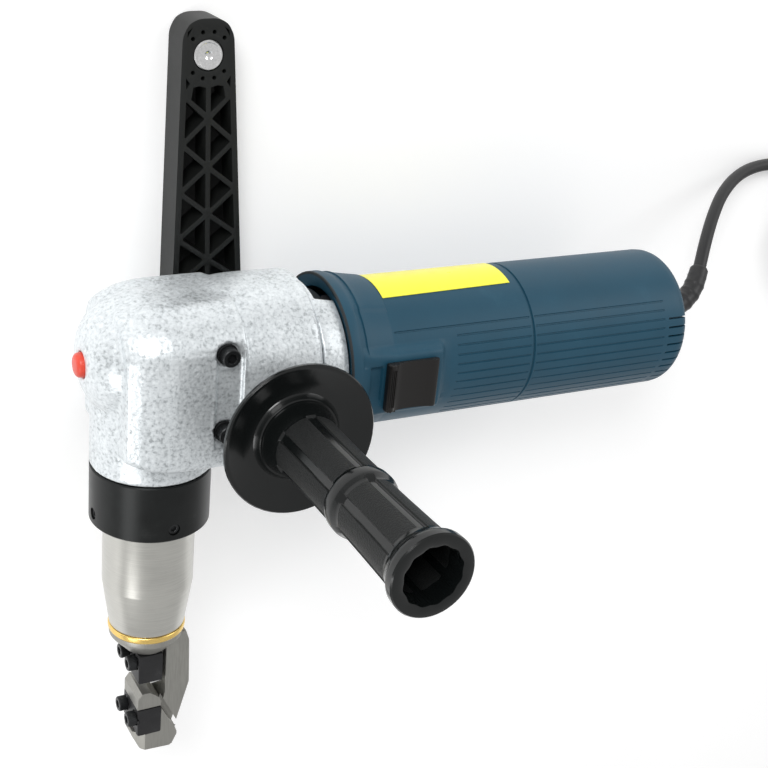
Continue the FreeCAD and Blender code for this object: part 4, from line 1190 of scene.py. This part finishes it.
@dataclass
class CuttingHead:
    """Ring nut, steel sleeve, brass ring, foot, blade holders and blades."""

    neck: float = 31.5
    hole_height: float = -73.4
    first_hole: float = 4.0
    foot_half: float = 11.5

    def build(self) -> None:
        """Builds and dresses the pieces."""
        self.turn_nut()
        self.turn_sleeve()
        self.mill_foot()
        self.mill_holder("upper_holder", "cutter", "upper_blade_holder", (-163.0, -181.0), 6.5, -169.0)
        self.mill_holder("lower_holder", "head", "lower_blade_holder", (-199.0, -216.3), 7.5, -206.0)
        self.grind_blades()

    def turn_nut(self) -> None:
        """The black nut with its four holes, and the set screws in them."""
        profile = [(28.85, -48.35), (30.9, -48.35), (31.5, -48.95), (31.5, -79.3), (30.6, -80.2),
                   (24.7, -80.2), (24.7, -76.1), (28.85, -76.1)]
        nut = Shape().lathe(HEAD, profile, even_angles(192), closed=True).object("nut", ["nut_steel"])
        drills = []
        screws = Shape()
        for k in range(4):
            angle = math.radians(self.first_hole + 90 * k)
            out = Vector((math.cos(angle), 0, -math.sin(angle)))
            spot = tool(0, 0, self.hole_height)
            drills.append(Shape().lathe(aimed(spot, out), [(0, 26), (3.2, 26), (3.2, 40), (0, 40)],
                                        even_angles(48)).object("drill", []))
            screws.lathe(aimed(spot, out), [(0, 29.2), (1.5, 29.2), (1.5, 30.3), (1.7, 30.5), (2.8, 30.5),
                                            (3.1, 30.2), (3.1, 28.9), (0, 28.9)], even_angles(48))
        carved(nut, drills)
        bevelled(nut, 0.35, 50)
        fitted(nut, "nut", ["ring_nut"], "nut_steel")
        fitted(screws.object("nut_screws", ["dark_steel"], 30), "nut", ["ring_nut_set_screws"], "dark_steel")

    def turn_sleeve(self) -> None:
        """The sleeve with its taper, and the brass ring under it."""
        sleeve = softened([(12.05, -64.3), (28.2, -64.3), (28.2, -75.6), (24.3, -75.6), (24.3, -119.0),
                           (20.5, -145.0), (20.2, -145.6), (12.05, -145.6)], 0.5, False, 2)
        made = Shape().lathe(HEAD, sleeve, even_angles(144), closed=True).object("sleeve", ["sleeve_steel"],
                                                                                 25)
        fitted(made, "head", ["tool_sleeve"], "sleeve_steel")
        band = [(8.45, -145.8), (20.4, -145.8), (20.9, -146.3), (20.9, -148.9), (20.4, -149.45),
                (8.45, -149.45)]
        brass = Shape().lathe(HEAD, softened(band, 0.25, True), even_angles(144), closed=True)
        fitted(brass.object("brass", ["brass_trim"], 25), "head", ["brass_ring"], "brass_trim")

    def mill_foot(self) -> None:
        """The C-shaped foot: a round top, a back arm and a base, with a slanted groove in each side."""
        half = self.foot_half
        disc = softened([(8.5, -149.6), (20.3, -149.6), (20.3, -152.6), (18.6, -154.8), (12.0, -162.2),
                         (8.5, -162.2)], 0.5, True)
        foot = Shape().lathe(HEAD, disc, even_angles(96), closed=True).object("foot", ["foot_steel"])
        arm = softened([(7.65, -151.8), (19.2, -151.8), (20.9, -158), (21.7, -186), (13.9, -214.5),
                        (15.9, -220), (12.3, -227.7), (-5.5, -226.9), (-9.4, -219), (-9.4, -216.4),
                        (6.15, -216.4), (6.15, -196.6), (7.65, -190)], 0.8, True)
        body = Shape().slab(arm, -half, half, upright, 0.8).object("arm", [])
        carved(foot, [body], join=True)
        groove = [(4, -188.3), (16.5, -213.9), (13.6, -214.2), (4, -197)]
        cuts = []
        for side in (-1, 1):
            span = sorted((6.5 * side, 14 * side))
            cuts.append(Shape().slab(groove, *span, upright).object("groove", []))
            corner = [(-3.2, 14 * side), (-12, 14 * side), (-12, 3.4 * side), (-9.3, 5.6 * side),
                      (-3.2, 11.4 * side)]
            cuts.append(Shape().slab(corner, -230, -216, tool).object("corner", []))
        cuts.append(Shape().lathe(HEAD, [(0, -140), (8.45, -140), (8.45, -170), (0, -170)]).object("bore",
                                                                                                   []))
        carved(foot, cuts)
        creased(foot, 28)
        fitted(foot, "head", ["cutter_foot"], "foot_steel")

    def mill_holder(self, name: str, body: str, node: str, ends: Point, spread: float, height: float) -> None:
        """A blade holder and the two cap screws in its front.

        Args:
            name: the piece's name.
            body: the body that it rides on.
            node: the CAD node of the block; its screws' node is named after the blade.
            ends: its top and bottom heights.
            spread: how far the screws stand from the middle.
            height: the screws' height.
        """
        top, bottom = ends
        outline = softened([(-7.95, bottom + 0.05), (5.95, bottom + 0.05), (5.95, top - 0.05),
                            (-7.95, top - 0.05)], 1.2, True)
        block = Shape().slab(outline, -11.95, 11.95, upright, 0.7).object(name, ["holder_steel"])
        seats = [Shape().lathe(aimed(tool(-7.0, y, height), Vector((-1, 0, 0))),
                               [(0, 0), (4.6, 0), (4.6, 3), (0, 3)], even_angles(40)).object("seat", [])
                 for y in (-spread, spread)]
        carved(block, seats)
        creased(block, 30)
        fitted(block, body, [node], "holder_steel")
        shape = Shape()
        screw = CapScrew(4.25, 5.0, 2.2, 2.45, 6.0)
        for y in (-spread, spread):
            screw.add(shape, tool(-8.05, y, height), Vector((-1, 0, 0)))
        screws = shape.object(f"{name}_screws", ["dark_steel"], 35)
        fitted(screws, body, [node.replace("_holder", "_screws")], "dark_steel")

    def grind_blades(self) -> None:
        """The two blades, ground bright."""
        upper = Shape().slab([(0.05, -183.95), (5.95, -183.2), (5.95, -181.05), (0.05, -181.05)], -8.95, 8.95,
                             upright, 0.15)
        fitted(upper.object("upper_edge", ["stud_steel"], 20), "cutter", ["upper_blade"], "stud_steel")
        outline = [(-7.9, -198.9), (5.9, -198.9), (5.9, -195.4), (4.6, -192.4), (-0.2, -189.4),
                   (-0.2, -188.55), (-5.4, -188.55), (-7.9, -192)]
        lower = Shape().slab(outline, -11.4, 11.4, upright, 0.4)
        fitted(lower.object("lower_edge", ["foot_steel"], 20), "head", ["lower_blade"], "foot_steel")


# ---------------------------------------------------------------- motor housing

def window(value: float, low: float, high: float, soft: float) -> float:
    """1 from low to high, 0 further out than soft, smooth between."""
    outside = max(low - value, value - high, 0.0)
    share = max(0.0, 1 - outside / soft)
    return share * share * (3 - 2 * share)


@dataclass
class MotorHousing:
    """The blue front shell and rear cover, the slide switch and the label."""

    shell: float = 40.3
    groove_first: float = 35.0
    groove_pitch: float = 7.5
    groove_count: int = 14
    groove_half: float = 0.62
    groove_depth: float = 0.55
    split: float = 205.5
    angles: list[float] = field(default_factory=list)

    def build(self) -> None:
        """Builds and dresses the pieces."""
        self.angles = self._columns()
        self.mould_shell()
        self.mould_cover()
        self.shape_slider()
        self.stick_label()

    def _groove_angles(self) -> list[float]:
        """The grooves' angles in degrees, on both sides."""
        near = [self.groove_first - self.groove_pitch * k for k in range(self.groove_count)]
        return near + [180 - a for a in near]

    def _columns(self) -> list[float]:
        """The mesh's columns in radians, close together at each groove's edges."""
        marks = set()
        half = self.groove_half
        for middle_angle in self._groove_angles():
            for step in (-half * 1.35, -half * 0.75, half * 0.75, half * 1.35):
                marks.add(round((middle_angle + step) % 360, 3))
        for coarse in range(0, 360, 2):
            if all(min(abs(coarse - m), 360 - abs(coarse - m)) > 0.9 for m in marks):
                marks.add(float(coarse))
        return [math.radians(m) for m in sorted(marks)]

    def _groove(self, degrees: float) -> float:
        """1 in a groove, 0 beside it."""
        near = min(abs((degrees - g + 180) % 360 - 180) for g in self._groove_angles())
        return 1.0 if near < self.groove_half else 0.0

    @staticmethod
    def _degrees(angle: float) -> float:
        """An angle in degrees from -180 to 180."""
        return (math.degrees(angle) + 180) % 360 - 180

    def _shell_radius(self, r: float, s: float, angle: float) -> float:
        """The front shell's outside: collar, stepped recess, switch pad, pocket and grooves."""
        if r < self.shell - 1.5:
            return r
        degrees = self._degrees(angle)
        folded = 180 - abs(degrees) if abs(degrees) > 90 and degrees > 0 else degrees
        first = 119.5 if abs(degrees - self.groove_first) < 2 or abs(degrees - 145) < 2 else 157.0
        r -= self.groove_depth * self._groove(degrees) * window(s, first, 203.4, 0.6)
        if 96.8 < s < 118.6 and 52 < folded:
            r += 0.9 * window(s, 101.2, 118.0, 0.5) * window(folded, 54.5, 200, 1.5)
        r -= 0.9 * window(s, 97.8, 100.8, 0.5) * window(folded, 14, 53, 2.0)
        if abs(degrees) < 60:
            flat = 42.6 / math.cos(math.radians(min(abs(degrees), 30)))
            share = window(degrees, -20.6, 15.7, 11.0) * window(s, 100.4, 144.0, 5.0)
            r += max(0.0, flat - r) * share
            r -= 1.6 * window(s, 102.4, 108.8, 0.5) * window(degrees, -13.5, 11.0, 1.6)
        return r

    def _cover_radius(self, r: float, s: float, angle: float) -> float:
        """The rear cover's outside: grooves, and notches round its rear rim."""
        if r < self.shell - 7:
            return r
        degrees = self._degrees(angle)
        folded = 180 - abs(degrees) if abs(degrees) > 90 and degrees > 0 else degrees
        r -= self.groove_depth * self._groove(degrees) * window(s, 207.6, 296.5, 0.6)
        if degrees < 0 and abs(degrees) > 90:
            folded = -(180 - abs(degrees))
        notch = self._groove(degrees) * window(folded, -62, 21, 1.0)
        return r - 2.4 * notch * window(s, 300.5, 320, 1.0)

    def mould_shell(self) -> None:
        """The front shell with its flared collar."""
        stations = [91.6, 95.8, 96.9, 97.4, 97.8, 98.6, 100.4, 100.8, 101.2, 101.7, 102.4, 102.9, 105, 108.4,
                    108.8, 109.3, 112, 115, 117.2, 118.0, 118.5, 119.0, 119.5, 120.1, 130, 137, 144, 145,
                    146.2, 147.5, 149, 153, 156.4, 157.0, 165, 180, 195, 203.4, 204.0, 204.6]
        outer = [(self._cone(s), s) for s in stations]
        profile = [(37.4, 92.4), (43.6, 90.7), (44.6, 90.6), (45.1, 91.0)] + outer
        profile += [(39.5, self.split - 0.6), (39.5, self.split - 0.1), (37.4, self.split - 0.1)]
        shape = Shape().lathe(MOTOR, profile, self.angles, self._shell_radius, True,
                              lambda s, a: 1 if s < 91.4 or (s < 92.6 and s > 205) else 0)
        made = shape.object("front_shell", ["blue_shell", "rim_plastic_and_painted_shade"], 34)
        fitted(made, "root", ["motor_housing"], "blue_shell")

    def _cone(self, s: float) -> float:
        """The radius along the front shell: wide at the collar, narrowing to the grip."""
        if s <= 96:
            return 45.2
        if s >= 118:
            return self.shell
        return 45.2 - 2.6 * (s - 96) / 8 if s < 104 else 42.6 - 2.3 * (s - 104) / 14

    def mould_cover(self) -> None:
        """The rear cover."""
        stations = [206.3, 207.0, 207.6, 220, 240, 260, 280, 296.5, 297.1, 299.5, 300.5, 304, 307.3]
        profile = [(37.4, self.split), (39.5, self.split), (39.5, self.split + 0.5)]
        profile += [(self.shell, s) for s in stations]
        profile += [(40.0, 309.8), (39.2, 311.8), (38.0, 313.4), (36.4, 314.6), (34.4, 315.3), (32.0, 315.45),
                    (12.0, 315.45), (11.2, 316.0), (7.6, 316.0), (7.2, 315.4), (7.2, 312.2), (37.4, 311.0)]
        shape = Shape().lathe(MOTOR, profile, self.angles, self._cover_radius, True)
        cover = shape.object("rear_shell", ["blue_shell"], 34)
        fitted(cover, "root", ["rear_cover"], "blue_shell")

    def shape_slider(self) -> None:
        """The slide switch's button: a raised ridge in front, hollowed behind."""
        crest = [(110.6, -42.75), (110.6, -46.8), (112.0, -48.0), (114.2, -48.1), (115.6, -46.4),
                 (118.5, -45.3), (123, -44.9), (129, -45.0), (134, -45.6), (138.5, -46.9), (140.6, -46.5),
                 (141.0, -45.0), (141.0, -42.75)]
        outline = softened(crest, 1.2, True, 3)
        shape = Shape().slab(outline, -15.4, 11.4, tool, 1.9, 4)
        for k in range(3):
            x = 112.0 + 0.95 * k
            shape.brick((x, -48.6, -12.5), (x + 0.45, -47.2, 8.5), tool, 0.12)
        slider = shape.object("slider", ["switch_plastic"], 30)
        fitted(slider, "slider", ["switch_slider"], "switch_plastic")

    def stick_label(self) -> None:
        """The yellow label over the top of the front shell."""
        shape = Shape()
        columns = [119.2 + (199.6 - 119.2) * k / 30 for k in range(31)]
        sheets = []
        for lift in (0.12, 0.42):
            rows = []
            for i in range(25):
                share = i / 24
                rows.append([shape.mesh.verts.new(MOTOR.at(x, self.shell + lift,
                                                           math.radians(self._edge(x, share))))
                             for x in columns])
            sheets.append(rows)
        low, high = sheets
        for rows in sheets:
            for i in range(24):
                for k in range(30):
                    shape.mesh.faces.new([rows[i][k], rows[i][k + 1], rows[i + 1][k + 1], rows[i + 1][k]])
        rim_low = low[0] + [r[-1] for r in low[1:]] + low[-1][-2::-1] + [r[0] for r in low[-2:0:-1]]
        rim_high = high[0] + [r[-1] for r in high[1:]] + high[-1][-2::-1] + [r[0] for r in high[-2:0:-1]]
        count = len(rim_low)
        for k in range(count):
            n = (k + 1) % count
            shape.mesh.faces.new([rim_low[k], rim_low[n], rim_high[n], rim_high[k]])
        label = shape.object("label", ["yellow_label"], 40)
        fitted(label, "root", ["rating_label"], "yellow_label")

    @staticmethod
    def _edge(x: float, share: float) -> float:
        """The angle across the label in degrees; its near edge runs slightly askew."""
        near = 64.5 + 2.5 * (x - 119) / 80
        return near + (107 - near) * share


# ---------------------------------------------------------------- handles

@dataclass
class SideHandle:
    """The side handle: a dished guard and a grip with grained panels."""

    panels: int = 6
    groove_half: float = 7.0
    depth: float = 1.2

    def build(self) -> None:
        """Builds and dresses the handle."""
        marks = []
        for k in range(self.panels):
            middle_angle = 360 / self.panels * (k + 0.5)
            for step in (-8.6, -7.4, -6.2, -2, 2, 6.2, 7.4, 8.6, 14, 20, 26, 34, 40, 46):
                marks.append((middle_angle + step) % 360)
        angles = [math.radians(m) for m in sorted(marks)]
        shape = Shape().lathe(HANDLE, self._profile(), angles, self._radius, True, self._paint)
        grip = shape.object("grip", ["black_gloss", "black_grain"], 30)
        fitted(grip, "side_handle", ["side_handle_grip"], "black_gloss")

    def _profile(self) -> list[Point]:
        """Radius and distance from the motor axis, from the thread's hole round the outside and back in."""
        foot = [(7.15, 48.5), (12.6, 48.5), (13.4, 50), (14.4, 58), (17.5, 60.6), (24, 62.2), (33, 64.4),
                (37.5, 66.6), (39.4, 68.6)]
        guard = [(40.0, 69.8), (40.0, 71.4), (39.4, 72.1), (38.5, 72.1), (37.4, 71.5), (34, 70.2), (29, 68.2),
                 (25.5, 67.0), (23.2, 67.0), (22.2, 67.9), (21.6, 69.6), (20.9, 70.4), (19.9, 70.2),
                 (19.4, 71.4)]
        back = [(18.9, 74), (18.0, 77.6), (17.5, 79.6), (17.2, 80.6), (16.8, 95), (16.5, 112), (16.6, 126),
                (16.7, 131.4), (16.9, 132.4), (17.5, 133.6), (17.7, 134.6), (17.7, 138.6), (17.4, 139.8),
                (16.2, 141.6)]
        front = [(15.9, 142.8), (15.8, 143.6), (16.1, 160), (16.6, 180), (16.9, 188), (17.1, 189.4),
                 (17.6, 191.4), (19.4, 194.6), (20.2, 196.2), (20.3, 197.6), (20.3, 200.4), (19.7, 201.3),
                 (18.8, 201.55), (15.6, 201.55), (14.8, 201.1), (14.5, 200.2)]
        inside = [(14.4, 190), (14.0, 170), (13.6, 150.2), (11.2, 149.6), (11.2, 112.2), (7.15, 112.2)]
        return foot + guard + back + front + inside

    def _apart(self, angle: float) -> float:
        """Degrees from the nearest groove."""
        pitch = 360 / self.panels
        return abs(math.degrees(angle) % pitch - pitch / 2)

    def _radius(self, r: float, s: float, angle: float) -> float:
        """The grooves between the panels, and faint ribs inside the hollow end."""
        if r > 15.2 and 80.4 < s < 190:
            share = window(s, 81.0, 131.6, 1.2) + window(s, 143.4, 188.2, 1.2)
            side = window(self._apart(angle), 0, self.groove_half, 1.0)
            return r - self.depth * min(1.0, share) * side
        if 12 < r < 15 and s > 150:
            return r - 0.35 * (1 + math.cos(12 * angle))
        return r

    def _paint(self, s: float, angle: float) -> int:
        """Grained panels, glossy everywhere else."""
        panel = 80.8 < s < 131.9 or 143.2 < s < 188.6
        return 1 if panel and self._apart(angle + math.radians(1)) > self.groove_half + 0.4 else 0


@dataclass
class SupportBar:
    """The ribbed bar on the far side, with its stud and its bolt."""

    pivot: Point = (50.0, -10.0)
    lean: float = 2.0
    face: float = 52.0
    depth: float = 20.0
    low_half: float = 21.5
    top_half: float = 13.9
    length: float = 178.0
    stud_at: float = 159.5
    node_first: float = 23.9
    cell: float = 25.7
    wall: float = 3.2
    rib: float = 2.6

    def build(self) -> None:
        """Builds and dresses the pieces."""
        self.mould_bar()
        self.turn_stud()

    def spot(self, u: float, v: float, w: float) -> Vector:
        """A point by its place across the bar, along it from the bolt, and into it, in mm."""
        lean = math.radians(self.lean)
        x = u * math.cos(lean) + v * math.sin(lean)
        z = -u * math.sin(lean) + v * math.cos(lean)
        return tool(self.pivot[0] - x, self.face + w, self.pivot[1] + z)

    def half_at(self, v: float) -> float:
        """Half the bar's width at a distance from the bolt."""
        return self.low_half - (self.low_half - self.top_half) * v / (self.length - 10)

    def mould_bar(self) -> None:
        """The bar: a tapered box with crossed ribs over triangular pockets."""
        low, top, end = self.low_half, self.top_half, self.length
        outline = softened([(-low * 0.72, -18.8), (low * 0.72, -18.8), (low - 0.1, -10), (low - 0.1, 0),
                            (top, end - 9), (top - 3.4, end - 2.6), (5, end - 0.1), (-5, end - 0.1),
                            (3.4 - top, end - 2.6), (-top, end - 9), (0.1 - low, 0), (0.1 - low, -10)], 3.0,
                           True, 4)
        bar = Shape().slab(outline, 0.05, self.depth, self.spot, 1.1, 3).object("bar", ["bar_plastic"])
        cutters = [Shape().slab(pocket, -3, self.depth - 5, self.spot, 0.0).object("pocket", [])
                   for pocket in self.pockets()]
        out = self.spot(0, 0, 1) - self.spot(0, 0, 0)
        for k in range(12):
            angle = math.radians(30 * k + 15)
            place = self.spot(12.0 * math.cos(angle), self.stud_at + 12.0 * math.sin(angle), 0)
            if abs(12.0 * math.cos(angle)) < 11.2:
                cutters.append(Shape().lathe(aimed(place, out), [(0, -2), (1.15, -2), (1.0, 7), (0, 7)],
                                             even_angles(20)).object("pit", []))
        stud = self.spot(0, self.stud_at, 0)
        cutters.append(Shape().lathe(aimed(stud, out), [(0, -3), (8.6, -3), (8.1, 1.0), (7.87, 1.4),
                                                        (7.87, 24), (0, 24)]).object("stud_hole", []))
        bolt = self.spot(0, 0, 0)
        cutters.append(Shape().lathe(aimed(bolt, out), [(0, -3), (5.1, -3), (5.1, 12), (9.5, 12), (9.5, 24),
                                                        (0, 24)], even_angles(64)).object("bolt_hole", []))
        carved(bar, cutters)
        bevelled(bar, 0.35, 40)
        fitted(bar, "bar", ["support_bar"], "bar_plastic")

    def pockets(self) -> list[list[Point]]:
        """The pockets' outlines: triangles between the middle rib, the crossed ribs and a wall."""
        result = []
        for k in range(6):
            node = self.node_first + self.cell * k
            for side in (-1, 1):
                low, high = node - self.cell / 2, node + self.cell / 2
                wall_low, wall_high = [(side * (self.half_at(v) - self.wall + self.rib / 2), v)
                                       for v in (low, high)]
                if k < 5:
                    result.append(self._shrunk([wall_low, wall_high, (0, node)]))
                if k < 4:
                    result.append(self._shrunk([(0, node), wall_high, (0, node + self.cell)]))
        for side in (-1, 1):
            result.append([(side * 1.3, 130.2), (side * 9.4, 137.2), (side * 8.2, 143.4), (side * 5.0, 144.0),
                           (side * 1.3, 143.0)])
            result.append([(side * 11.2, 171.5), (side * 8.4, 174.0), (side * 11.4, 168.6)])
            result.append([(side * 12.0, 142.6), (side * 12.2, 148.5), (side * 10.0, 145.6)])
        return result

    def _shrunk(self, triangle: Sequence[Point]) -> list[Point]:
        """A triangle with its sides moved in by half a rib, its corners rounded."""
        corners = [Vector(p) for p in triangle]
        sides = [(corners[(i + 1) % 3] - corners[(i + 2) % 3]).length for i in range(3)]
        heart = sum((c * (s / sum(sides)) for c, s in zip(corners, sides)), Vector((0, 0)))
        (ax, ay), (bx, by) = corners[1] - corners[0], corners[2] - corners[0]
        share = 1 - self.rib * sum(sides) / (2 * abs(ax * by - ay * bx))
        return softened([tuple(heart + (c - heart) * share) for c in corners], 1.0, True, 2)

    def turn_stud(self) -> None:
        """The bright stud pressed through the bar's free end, and the bolt at the other end."""
        out = self.spot(0, 0, 0) - self.spot(0, 0, 1)
        profile = [(0, -19.9), (6.9, -19.9), (7.82, -19.0), (7.82, -0.2), (7.2, 0.5), (6.6, 0.55), (6.2, 0.1),
                   (2.4, 0.1), (1.4, -0.5), (0, -0.9)]
        stud = Shape().lathe(aimed(self.spot(0, self.stud_at, 0), out), profile).object("stud",
                                                                                        ["stud_steel"], 25)
        fitted(stud, "bar", ["bar_stud"], "stud_steel")
        shape = Shape()
        screw = CapScrew(8.4, 6.8, 4.0, 4.95, 40.0)
        screw.add(shape, self.spot(0, 0, 12.15), -out)
        bolt = shape.object("bolt", ["dark_steel"], 35)
        fitted(bolt, "root", ["bar_bolt"], "dark_steel")


# ---------------------------------------------------------------- inner works

@dataclass
class InnerWorks:
    """The CAD's own inner pieces: a finish and softened edges for each."""

    edge: float = 0.25

    def build(self) -> None:
        """Dresses every CAD node that nothing stands for."""
        slots = {part["node"]: part["material_slot"] for part in frame["record"]["subparts"]}
        for node, piece in frame["nodes"].items():
            if piece.hide_render:
                continue
            piece.data.materials.clear()
            piece.data.materials.append(PALETTE.get(slots[node]))
            step = piece.modifiers.new("edges", "BEVEL")
            step.width = self.edge * MM
            step.segments = 2
            step.limit_method = "ANGLE"
            step.angle_limit = math.radians(40)
            log.info("%s dressed as %s", node, slots[node])


def main() -> None:
    """Builds everything in order."""
    logging.basicConfig(level=logging.INFO, format="%(message)s")
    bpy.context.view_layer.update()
    Stage().build()
    parts = (MainsCord(), GearCase(), CuttingHead(), MotorHousing(), SideHandle(), SupportBar(), InnerWorks())
    for part in parts:
        part.build()


if __name__ == "__main__":
    main()
